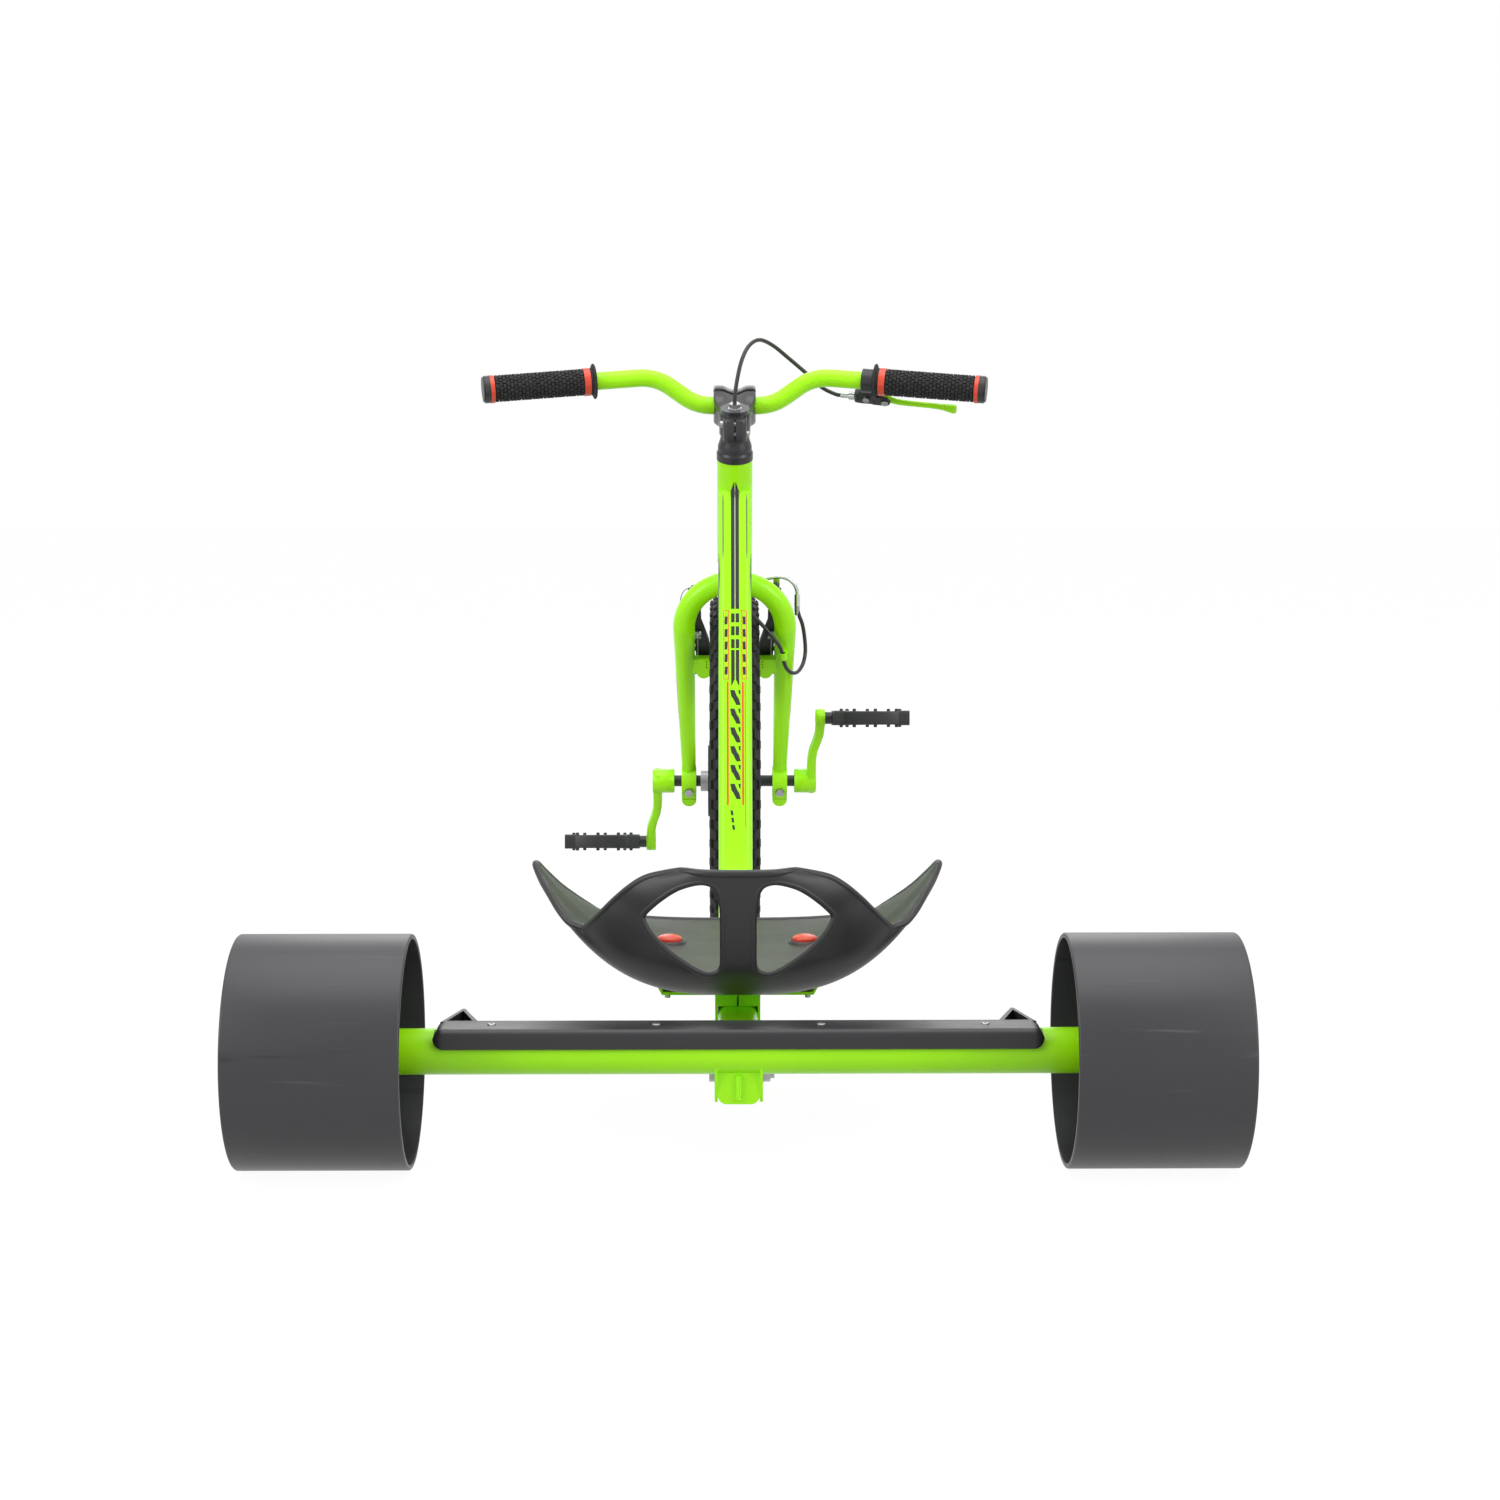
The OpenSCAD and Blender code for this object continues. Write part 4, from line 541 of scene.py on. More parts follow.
# The stops are three-cornered loops that point forward off the pad's front edge
stop_middle, stop_half, stop_base, stop_tip = 0.2725, 0.019, 0.015, 0.062
stops = Shape()
loop_plan = [(-stop_half, stop_base), (-0.0016, stop_tip), (0.0016, stop_tip), (stop_half, stop_base),
             (stop_half - 0.0042, stop_base), (0.0, stop_tip - 0.0072), (-stop_half + 0.0042, stop_base)]
stop_floor = [(-stop_half + 0.002, stop_base), (0.0, stop_tip - 0.004), (stop_half - 0.002, stop_base)]
for sign in both:
    centre = axle + Vector((sign * stop_middle, 0, 0))
    walls = []
    # Each ring's height at the base and at the tip, and how far it is drawn in
    for low, high, trim in ((0.009, 0.017, 1.0), (pad_top - 0.0008, pad_top + 0.0022, 1.0),
                            (pad_top - 0.0002, pad_top + 0.0028, 0.92)):
        walls.append([centre + Vector((x * trim, y, low + (high - low) * (y - stop_base) / (stop_tip - stop_base)))
                      for x, y in loop_plan])
    stops.rings(walls)
    stops.rings([[centre + Vector((x, y, z)) for x, y in stop_floor] for z in (0.0125, 0.0145)])
stops.piece("foot_stops", black_plastic, "frame", "black_plastic", 30)

steel = cloudy("zinc_steel", (0.3, 0.3, 0.31), (0.46, 0.46, 0.47), (90.0, 4.0), (0.26, 0.2, 200.0), Metallic=1.0)
dress(steel, "frame_bolts", "frame_nuts", "axle_nuts")
screw_places = (-0.24, -0.08, 0.08, 0.24)
screws = Shape()
for x in screw_places:
    screws.lathe(mm((24, 2), (24, 4.2), (26.6, 4.2), (27.4, 3.6), (27.7, 2.4), (27.7, 1.6), (26.2, 1.5),
                    (26.2, 0)), axle + Vector((x, 0, 0)), (0, 0, 1), 24)
screw_piece = screws.piece("pad_screw_heads", steel, "frame", "bright_steel")
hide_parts("pad_screws")


# Rear drums --------------------------------------------------------------
# Two slick rollers turned from dark plastic pipe. A moulded web, a hub and
# thin ribs inside carry each one on the beam's stub axle.

drum_radius, drum_width, drum_wall = 0.1143, 0.168, 0.005
web_out, web_thick = 0.062, 0.008
rib_count, rib_turn = 24, 0.13
drum_centre = joints["right_rear_spin"]["pos_m"][0]

drum_plastic = finish("drum_plastic", Specular_IOR_Level=0.4)
along_streaks = noise(drum_plastic, 150.0, 5.0, (0.045, 1, 1))
cloud = noise(drum_plastic, 14.0, 5.0, (0.35, 1, 1))
around_lines = noise(drum_plastic, 420.0, 3.0, (1, 0.02, 0.02))
dark_line = ramp(drum_plastic, noise(drum_plastic, 34.0, 6.0, (0.07, 1, 1)), (0.63, 0.0), (0.66, 1.0), (0.69, 0.0))
scratch = ramp(drum_plastic, along_streaks, (0.66, 0.0), (0.74, 1.0))
drum_grey = mix(drum_plastic, cloud, (0.03, 0.03, 0.033), (0.05, 0.05, 0.055))
drum_grey = mix(drum_plastic, scratch * 0.45, drum_grey, (0.1, 0.1, 0.11))
drum_grey = mix(drum_plastic, dark_line * 0.6, drum_grey, (0.014, 0.014, 0.018))
feed(drum_plastic, Base_Color=drum_grey,
     Roughness=0.3 + 0.14 * cloud + 0.1 * scratch + 0.05 * around_lines)
bump(drum_plastic, around_lines * 0.5 + along_streaks * 0.5, 0.00015, 0.35)

drum_bearing_radius, stub_bore = 0.01605, 0.008
for name, side in sides:
    centre = axle + Vector((side * drum_centre, 0, 0))
    half = drum_width / 2
    inner = drum_radius - drum_wall
    edge = 0.0022
    barrel = [(half, inner + 0.0008), (half, drum_radius - edge)]
    barrel += [(half - edge + edge * cos(pi / 2 * k / 5), drum_radius - edge + edge * sin(pi / 2 * k / 5))
               for k in range(1, 6)]
    barrel += [(-half + edge - edge * sin(pi / 2 * k / 5), drum_radius - edge + edge * cos(pi / 2 * k / 5))
               for k in range(6)]
    barrel += [(-half, inner + 0.0008), (-half + 0.0008, inner), (half - 0.0008, inner)]
    drum = Shape().lathe(barrel, centre, (side, 0, 0), 144, closed=True)
    web = [(web_out, 0.0165), (web_out, 0.0225), (web_out - 0.002, 0.026), (web_out - 0.002, inner + 0.001),
           (web_out - web_thick, inner + 0.001), (web_out - web_thick, 0.025), (-0.028, 0.0218),
           (-0.030, 0.0205), (-0.030, drum_bearing_radius), (-0.020, drum_bearing_radius),
           (-0.020, stub_bore), (web_out - 0.010, stub_bore), (web_out - 0.010, drum_bearing_radius),
           (web_out, drum_bearing_radius)]
    drum.lathe(web, centre, (side, 0, 0), 96, closed=True)
    for k in range(rib_count):
        a = 2 * pi * k / rib_count + rib_turn
        out = Vector((0, cos(a), sin(a)))
        flat = Vector((0, -sin(a), cos(a)))
        deep = web_out - web_thick
        hub_in, rim_in = -0.024, 0.006
        thick = 0.0016
        rib_plan = [(deep, 0.021), (hub_in, 0.021), (hub_in + 0.004, 0.040), (rim_in, inner + 0.001),
                    (deep, inner + 0.001)]
        drum.rings([[centre + Vector((side * x, 0, 0)) + r * out + w * flat for x, r in rib_plan]
                    for w in (-thick, thick)])
    body = name + "_rear_wheel"
    piece = drum.piece(name + "_drum_shell", drum_plastic, body, "drum_plastic", 32)
    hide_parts(name + "_rear_drum")
bearing_steel = cloudy("bearing_steel", (0.4, 0.4, 0.4), (0.55, 0.55, 0.56), (300.0,), (0.28, 0.1, 500.0),
                       Metallic=1.0)
dress(bearing_steel, "drum_bearings", "headset_bearings", "spindle_bearings")


# Seat shell --------------------------------------------------------------
# A black bucket moulded in one piece: a long pan, two wings and a back
# with two almond openings either side of a spine. Its edge is rolled.

pan_back, pan_length, pan_tilt = 0.112, 0.273, radians(4.8)
pan_lift, back_height, back_curve, back_lean = 0.038, 0.129, 0.046, radians(11)
shell = 0.005
turn_angle = pi / 2 + pan_tilt - back_lean
curve_length = back_curve * turn_angle
back_length = (back_height - back_curve + back_curve * sin(back_lean)) / cos(back_lean)
seat_length = pan_length + curve_length + back_length
curve_at = Vector((pan_back, pan_lift + back_curve))
pan_end = curve_at + back_curve * Vector((sin(pan_tilt), -cos(pan_tilt)))
back_start = curve_at - back_curve * Vector((cos(back_lean), sin(back_lean)))
pan_way = Vector((-cos(pan_tilt), -sin(pan_tilt)))
back_way = Vector((-sin(back_lean), cos(back_lean)))


def seat_line(u):
    """The seat's middle line: (forward, up) from the axle, u along it from the front edge."""
    if u <= pan_length:
        return pan_end - (pan_length - u) * pan_way
    if u >= pan_length + curve_length:
        return back_start + (u - pan_length - curve_length) * back_way
    a = pan_tilt - (u - pan_length) / back_curve
    return curve_at + back_curve * Vector((sin(a), -cos(a)))


# The rim: share of the length, then half width, forward and up in millimetres
seat_rim = [
    (0, 128, 378, 30), (10, 146, 370, 34), (40, 162, 345, 48), (90, 188, 298, 76), (130, 203, 258, 99),
    (165, 209, 222, 113), (200, 202, 196, 102), (240, 190, 165, 89), (275, 178, 143, 75), (300, 166, 132, 64),
    (320, 155, 125, 61), (345, 145, 114, 69), (365, 133, 103, 82), (385, 120, 94, 96), (405, 106, 84, 109),
    (420, 90, 77, 119), (430, 74, 71, 123), (440, 57, 66, 126)]


def rim_at(u):
    """The rim beside u, smoothly through its points."""
    t = u / seat_length * seat_rim[-1][0]
    i = max(k for k in range(len(seat_rim) - 1) if seat_rim[k][0] <= t or k == 0)
    a, b = seat_rim[i], seat_rim[i + 1]
    before, after = seat_rim[max(i - 1, 0)], seat_rim[min(i + 2, len(seat_rim) - 1)]
    step = b[0] - a[0]
    f = (t - a[0]) / step
    made = []
    for k in (1, 2, 3):
        m0 = (b[k] - before[k]) / (b[0] - before[0]) * step
        m1 = (after[k] - a[k]) / (after[0] - a[0]) * step
        made.append(((2 * f ** 3 - 3 * f ** 2 + 1) * a[k] + (f ** 3 - 2 * f ** 2 + f) * m0
                     + (3 * f ** 2 - 2 * f ** 3) * b[k] + (f ** 3 - f ** 2) * m1) / 1000)
    return made


def seat_point(u, w):
    line, rim = seat_line(u), rim_at(u)
    rise = abs(w) ** 3
    return Vector((w * rim[0], axle.y + line[0] + (rim[1] - line[0]) * rise,
                   axle.z + line[1] + (rim[2] + pan_lift - line[1]) * rise))


# One opening's outline, as distance from the middle and height over the axle in millimetres
opening_points = [(15, 78), (15, 98), (15, 118), (15.8, 134), (18.5, 147), (24, 155), (34, 158), (46, 156),
                  (62, 149.5), (78, 138), (90, 126.5), (94.3, 120), (92, 112), (84, 99.5), (68, 84), (54, 74),
                  (40, 65.5), (30, 62.5), (20.5, 65), (16, 70)]


def spline(points, steps, closed=False):
    """A smooth line through the points, steps to each stretch."""
    points = [Vector(p) for p in points]
    count, made = len(points), []
    for i in range(count if closed else count - 1):
        near = [(i + k) % count if closed else min(max(i + k, 0), count - 1) for k in (-1, 0, 1, 2)]
        a, b, c, d = (points[k] for k in near)
        for k in range(steps):
            t = k / steps
            made.append(0.5 * (2 * b + (c - a) * t + (2 * a - 5 * b + 4 * c - d) * t * t
                               + (3 * b - a - 3 * c + d) * t ** 3))
    return made if closed else made + [points[-1]]


opening = [p / 1000 for p in spline(opening_points, 8, closed=True)]


def inside(x, z):
    """Whether a point lies in the opening on the right side."""
    crossed = False
    for a, b in zip(opening, opening[1:] + opening[:1]):
        if (a[1] > z) != (b[1] > z) and x < (b[0] - a[0]) * (z - a[1]) / (b[1] - a[1]) + a[0]:
            crossed = not crossed
    return crossed


row_count, column_count = 200, 150
rows = [seat_length * i / (row_count - 1) for i in range(row_count)]
columns = [-1 + 2 * j / (column_count - 1) for j in range(column_count)]
skin = [seat_point(u, w) for u in rows for w in columns]
back_from = pan_length + 0.25 * curve_length
mesh = bpy.data.meshes.new("seat_bucket")
grid = []
for i in range(row_count - 1):
    for k in range(i * column_count, (i + 1) * column_count - 1):
        grid.append([k, k + 1, k + 1 + column_count, k + column_count])
kept = []
for face in grid:
    centre = sum((skin[i] for i in face), Vector()) / 4
    row = rows[face[0] // column_count]
    if row < back_from or not inside(abs(centre.x), centre.z - axle.z):
        kept.append(face)
mesh.from_pydata([tuple(p) for p in skin], [], kept)
work = bmesh.new()
work.from_mesh(mesh)
bmesh.ops.recalc_face_normals(work, faces=work.faces)
bmesh.ops.delete(work, geom=[v for v in work.verts if not v.link_faces], context="VERTS")
# The cut's steps are drawn onto the opening's outline
rim_points = {tuple(round(c, 6) for c in seat_point(u, w)) for u in rows for w in (-1, 1)}
rim_points |= {tuple(round(c, 6) for c in seat_point(seat_length, w)) for w in columns}
cut_front, cut_side, cut_top = axle.y + 0.105, 0.1, axle.z + 0.16
for v in work.verts:
    if (v.is_boundary and v.co.y < cut_front and abs(v.co.x) < cut_side and v.co.z < cut_top
            and tuple(round(c, 6) for c in v.co) not in rim_points):
        target = min(opening, key=lambda p: (p[0] - abs(v.co.x)) ** 2 + (p[1] - (v.co.z - axle.z)) ** 2)
        sign = 1 if v.co.x > 0 else -1
        normal = v.normal
        dx, dz = sign * target[0] - v.co.x, target[1] + axle.z - v.co.z
        dy = -(normal.x * dx + normal.z * dz) / normal.y if abs(normal.y) > 0.2 else 0.0
        v.co += Vector((dx, dy, dz))
loops = []
open_edges = [e for e in work.edges if e.is_boundary]
waiting = set(open_edges)
for edge in open_edges:
    if edge not in waiting:
        continue
    waiting.discard(edge)
    loop = [edge.verts[0], edge.verts[1]]
    while loop[0] is not loop[-1]:
        following = next((e for e in loop[-1].link_edges if e in waiting), None)
        if following is None:
            break
        waiting.discard(following)
        loop.append(following.other_vert(loop[-1]))
    loops.append([(v.co.copy(), v.normal.copy()) for v in loop[:-1]])
work.to_mesh(mesh)
work.free()
mesh.shade_smooth()
seat = bpy.data.objects.new("seat_bucket", mesh)
scene.collection.objects.link(seat)
thick = seat.modifiers.new("thickness", "SOLIDIFY")
thick.thickness = shell
seat_plastic = moulded_plastic("seat_plastic", (0.015, 0.015, 0.016), 0.42, 0.12)
mesh.materials.append(seat_plastic.material)
up_facing = sum(p.normal.z for p in mesh.polygons if p.center.y > axle.y + 0.2)
thick.offset = -1.0 if up_facing > 0 else 1.0
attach(seat, "seat_carriage")
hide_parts("seat_shell")

# Its rolled edges: a bead round the rim and round each opening
facing = 1.0 if up_facing > 0 else -1.0
long_loop = 400
rolls = Shape()
for loop in loops:
    radius = 0.0041 if len(loop) > long_loop else 0.0033
    path = [p - facing * n * shell / 2 for p, n in loop]
    for _ in range(2):
        path = [(path[i - 1] + 2 * path[i] + path[(i + 1) % len(path)]) / 4 for i in range(len(path))]
    rolls.tube(path, radius, 10, closed=True)
rolls.piece("seat_rolled_edge", seat_plastic, "seat_carriage", "black_plastic", 60)

# Raised rings round the four bolts, each with a red disc sunk in it
bolt_x, bolt_rows = 0.073, (0.185, 0.285)
bosses, caps = Shape(), Shape()
for y in bolt_rows:
    height = axle.z + pan_end.y + (y - pan_end.x) * tan(pan_tilt)
    for x in (-bolt_x, bolt_x):
        bosses.lathe(mm((-4.5, 3.5), (2.4, 3.5), (2.4, 14.6), (3.8, 15.2), (4.2, 16.2), (3.6, 17.4), (1, 19.2),
                        (-2, 20.5), (-4.5, 20.5)),
                     (x, axle.y + y, height), (0, 0, 1), 48, closed=True)
        caps.lathe(mm((3, 12), (3, 13.4), (5.8, 13.6), (7.2, 13.1), (8.8, 10.5), (9.9, 6.8), (10.3, 3),
                      (10.4, 0)),
                   (x, axle.y + y, height), (0, 0, 1), 48)
bosses.piece("seat_bolt_bosses", seat_plastic, "seat_carriage", "black_plastic", 40)
red = finish("red_anodised", Roughness=0.32)
feed(red, Base_Color=mix(red, noise(red, 120.0, 4.0), (0.62, 0.045, 0.02), (0.72, 0.075, 0.03)))
caps_piece = caps.piece("seat_disc_caps", red, "seat_carriage", "red_ring", 40)
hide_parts("seat_washers")
dress(steel, "seat_bolts")


# Seat plate and clamp ---------------------------------------------------
# A folded green tray under the seat, welded on a block that grips the main
# tube. A cam lever on a cross pin closes the block.

dress(green, "seat_plate", "seat_clamp")
dress(black_plastic, "seat_spacers")
dress(steel, "clamp_pin")
pin = Vector(joints["seat_lever_turn"]["pos_m"])
weld_z, clamp_half, clamp_back, clamp_front = 0.1368, 0.0242, 0.183, 0.287
for side, sign in sides:
    weld("plate_weld_" + side, [(sign * clamp_half, axle.y + y, weld_z) for y in (clamp_back, clamp_front)],
         "seat_carriage", 0.0026)
# The cam lever: a round cam, a waist and a flat paddle with a thumb dish
lever = Shape()
spine = mm((0, 0, 0, 6, 7.5), (-2, 8, -0.5, 5.2, 6.5), (-4.5, 18, -1.5, 4, 5.2), (-7, 28, -3, 3.4, 5.5),
           (-8.8, 38, -4.5, 3, 6), (-9.5, 46, -6, 2.6, 5.2), (-9.5, 49.5, -6.6, 1.8, 2.8))
paddle_flat = 0.62
lever.rings([[pin + Vector((x + wide * paddle_flat * c, y, z + tall * s)) for c, s in circle(20)]
             for x, y, z, wide, tall in spine])
lever.lathe(mm((-6.3, 4.1), (-6.3, 7.2), (-5.5, 8), (10.5, 8), (11.3, 7.2), (11.3, 4.1)), pin, (1, 0, 0), 40,
            closed=True)
black_metal = cloudy("black_anodised", (0.02, 0.02, 0.022), (0.038, 0.038, 0.042), (60.0, 4.0),
                     (0.28, 0.14, 150.0), Metallic=0.35)
bump(black_metal, noise(black_metal, 1800.0, 2.0), 0.00008, 0.3)
lever_piece = lever.piece("clamp_cam_lever", black_metal, "seat_clamp_lever", "black_metal", 45)
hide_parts("clamp_lever")


# Fork ---------------------------------------------------------------------
# Two tapered legs that run up into one bent arch, with the steerer welded
# on top, split clamps at the ends and plates for the brake.

dress(green, "fork")
dress(steel, "fork_end_bolts", "brake_pivot_bolts")


def at_head(x, fore, up):
    """A point given across, ahead of the steering axis and along it from the hub's level."""
    return head + Vector((x, 0, 0)) + fore * steer_fore + up * steer_up


arch_radius, leg_radius, crown_up = 0.065, 0.014, 0.306
knee_up = crown_up - arch_radius
steerer_skin = 0.0192
crown_bead = []
for k in range(33):
    a = 2 * pi * k / 32
    fore = steerer_skin * sin(a)
    rise = 0.86 * sqrt(max(leg_radius ** 2 - fore ** 2, 0.0))
    crown_bead.append(at_head(steerer_skin * cos(a), fore, crown_up + rise - 0.0024 * cos(a) ** 2 + 0.0005))
weld("crown_weld", crown_bead, "steering", 0.0026)
brake_plate_fore, brake_plate_edge = 0.0145, mm((50.5, 168.5), (52.5, 195))
for side, sign in sides:
    weld("brake_plate_weld_" + side, [at_head(sign * x, brake_plate_fore, t) for x, t in brake_plate_edge],
         "steering", 0.0018)

# Small stripes on the outside of each leg, without lettering
leg_marks, leg_marks_dark = Shape(), Shape()
foot, knee = Vector((0.0605, fork_offset, 0.012)), Vector((arch_radius, 0, knee_up))


def on_leg(sign, along, turn, proud=0.00015):
    """A point on a leg's skin: along from foot 0 to knee 1, turned from straight out, in degrees."""
    middle = foot.lerp(knee, along)
    radius = 0.009 + (leg_radius - 0.009) * along + proud
    x = middle.x + radius * cos(radians(turn))
    return at_head(sign * x, middle.y - radius * sin(radians(turn)), middle.z)


for sign in both:
    for shape, low, high, start, width in ((leg_marks, 0.42, 0.66, 6, 12), (leg_marks_dark, 0.38, 0.7, -22, 20)):
        shape.sheet([[on_leg(sign, low + (high - low) * k / 12, start + width * j / 5) for j in range(6)]
                     for k in range(13)])
leg_marks.piece("leg_stripes_red", vinyl("red_stripe", (0.75, 0.12, 0.02)), "steering", "frame_green")
leg_marks_dark.piece("leg_stripes_black", vinyl("black_stripe", (0.012, 0.012, 0.013)), "steering", "frame_green")


# Headset and stem ---------------------------------------------------------
# A black cover and cone over the top bearing, then a forged stem: a split
# clamp on the steerer, a waisted body and a four-bolt face on the bar.

dress(black_metal, "headset_cover")
dress(steel, "stem_bolts")
head_top, cover_high, cone_high = 0.473, 0.012, 0.021
cone = Shape().lathe(
    mm((0, 14.3), (0, 20.8), (1, 21.2), (4, 21.1))
    + [(0.004 + 0.0165 * k / 14, 0.0178 + 0.0034 * (1 + cos(pi * k / 14)) / 2 - 0.0005 * sin(pi * k / 14))
       for k in range(1, 15)] + [(cone_high, 0.0174), (cone_high, 0.0143)],
    at_head(0, 0, head_top + cover_high), steer_up, 64, closed=True)
cone_piece = cone.piece("headset_cone", black_metal, "steering", "black_metal", 40)
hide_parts("headset_spacer")

stem_low, reach, stem_half = 0.506, 0.055, 0.0265
clamp_up = stem_low + 0.017
gloss_black = cloudy("gloss_black", (0.012, 0.012, 0.014), (0.03, 0.03, 0.034), (60.0, 4.0), (0.3, 0.14, 150.0),
                     Specular_IOR_Level=0.3, Coat_Weight=0.45, Coat_Roughness=0.12)
dress(gloss_black, "steerer_cap")


def stem_section(fore, half, low, high, dip, waist=0.0):
    """A soft-cornered section across the stem in millimetres. Its top edge dips in the middle."""
    corner = 3.2
    outline = []
    for k in range(29):
        x = -half + 2 * half * (1 - cos(pi * k / 28)) / 2
        past = max(0.0, abs(x) - (half - corner))
        sunk = dip * (1 + cos(pi * min(abs(x) / (0.66 * half), 1))) / 2
        outline.append((x, high - sunk - corner + sqrt(max(corner ** 2 - past ** 2, 0.0))))
    for k in range(1, 8):
        outline.append((half - waist * sin(pi * k / 8), high - corner + (low - high + 2 * corner) * k / 8))
    for k in range(17):
        x = half * cos(pi * k / 16)
        past = max(0.0, abs(x) - (half - corner))
        outline.append((x, low + corner - sqrt(max(corner ** 2 - past ** 2, 0.0))))
    for k in range(1, 8):
        outline.append((-half + waist * sin(pi * k / 8), low + corner + (high - low - 2 * corner) * k / 8))
    return [at_head(x / 1000, fore / 1000, up / 1000) for x, up in outline]


stem = Shape().rings([stem_section(*row) for row in (
    (-2, 16.5, 509, 533, 0, 0), (8, 18.8, 508, 534, 0, 0.4), (16, 19.8, 507.5, 534.4, 0.3, 1.8),
    (24, 22, 506.6, 535.4, 1, 2.8), (31, 24.6, 505.6, 537, 2.2, 3), (37, 26.2, 504.8, 539, 3.4, 1.8),
    (43, 26.5, 504.2, 540.8, 4.4, 0.6), (49, 26.5, 504, 542, 5, 0), (53.4, 26.5, 504, 542.6, 5.2, 0),
    (54.2, 25.8, 504.8, 541.8, 5.2, 0))])
stem.lathe(mm((0, 14.3), (0, 18.4), (1, 19.3), (27, 19.3), (29, 17.8), (29, 14.3)),
           at_head(0, 0, stem_low), steer_up, 64, closed=True)
# The two jaws of the steerer's clamp, with the slit between them
for sign in both:
    jaw = [(1, -13), (1, -32.4), (7, -33), (11, -32.2), (13.6, -30), (14.6, -27), (14.6, -13)]
    stem.rings([[at_head(sign * (1 + (x - 1) * near) / 1000, (-13 + (fore + 13) * near) / 1000, up / 1000)
                 for x, fore in jaw]
                for up, near in ((506.4, 0.95), (507.4, 1), (532.6, 1), (534.6, 0.93))])
stem_piece = stem.piece("stem_forging", gloss_black, "steering", "black_metal", 38)
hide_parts("stem")
plate = Shape().rings([stem_section(*row) for row in (
    (55.8, 25.8, 504.8, 543.8, 5.4), (56.6, 26.5, 504, 544.8, 5.4), (66, 26.5, 504.4, 545.8, 5.6),
    (69.6, 25.4, 506, 544.6, 5.4), (71, 23, 508.4, 541.8, 5))])
plate_piece = plate.piece("stem_front_plate", gloss_black, "steering", "black_metal", 38)
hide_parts("stem_faceplate")


# Handlebar and grips ------------------------------------------------------
# One steel tube bent twice each side and painted. The grips are rubber with
# rows of small blocks, held by red rings at both ends.

bar = at_head(0, reach, clamp_up)
bar_radius, bar_half_width = 0.0111, 0.310
bar_sweep, bar_droop, bar_kick, bar_bend, bar_rise = radians(11), radians(4.5), radians(35), 0.060, 0.034
bar_first = stem_half + 0.002
bar_way = Vector((cos(bar_sweep) * cos(bar_droop), -sin(bar_sweep), -sin(bar_droop))).normalized()
kick_way = Vector((cos(bar_kick), 0, sin(bar_kick)))
bar_turn = acos(bar_way.dot(kick_way))
turn_in = (bar_way - cos(bar_turn) * kick_way) / sin(bar_turn)
kick_end = Vector((bar_first + bar_bend * sin(bar_kick), 0, bar_bend * (1 - cos(bar_kick))))
turn_step = bar_bend * ((1 - cos(bar_turn)) * turn_in + sin(bar_turn) * kick_way)
bar_climb = (bar_rise - kick_end.z - turn_step.z) / sin(bar_kick)
grip_base = kick_end + bar_climb * kick_way + turn_step
bar_end = (bar_half_width - grip_base.x) / bar_way.x
half_path = [Vector((0, 0, 0)), Vector((bar_first * 0.5, 0, 0))]
for k in range(13):
    a = bar_kick * k / 12
    half_path.append(Vector((bar_first + bar_bend * sin(a), 0, bar_bend * (1 - cos(a)))))
for k in range(13):
    a = bar_turn * k / 12
    half_path.append(kick_end + bar_climb * kick_way
                     + bar_bend * ((1 - cos(a)) * turn_in + sin(a) * kick_way))
half_path.append(grip_base + (bar_end - 0.002) * bar_way)
mirrored = [Vector((-p.x, p.y, p.z)) for p in half_path]
tube = Shape().tube([bar + p for p in mirrored[:0:-1] + half_path], bar_radius, 40)
bar_piece = tube.piece("handlebar_tube", green, "steering", "frame_green", 40)
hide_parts("handlebar")

lever_side = Vector((0, cos(radians(38)), -sin(radians(38))))
lever_side = (lever_side - lever_side.dot(bar_way) * bar_way).normalized()
lever_flank = bar_way.cross(lever_side)


def on_grip(sign, toward, flank, along):
    """A point by the bar's straight end: toward the lever's side, across that, and out along the bar."""
    p = grip_base + toward * lever_side + flank * lever_flank + along * bar_way
    return bar + Vector((sign * p.x, p.y, p.z))


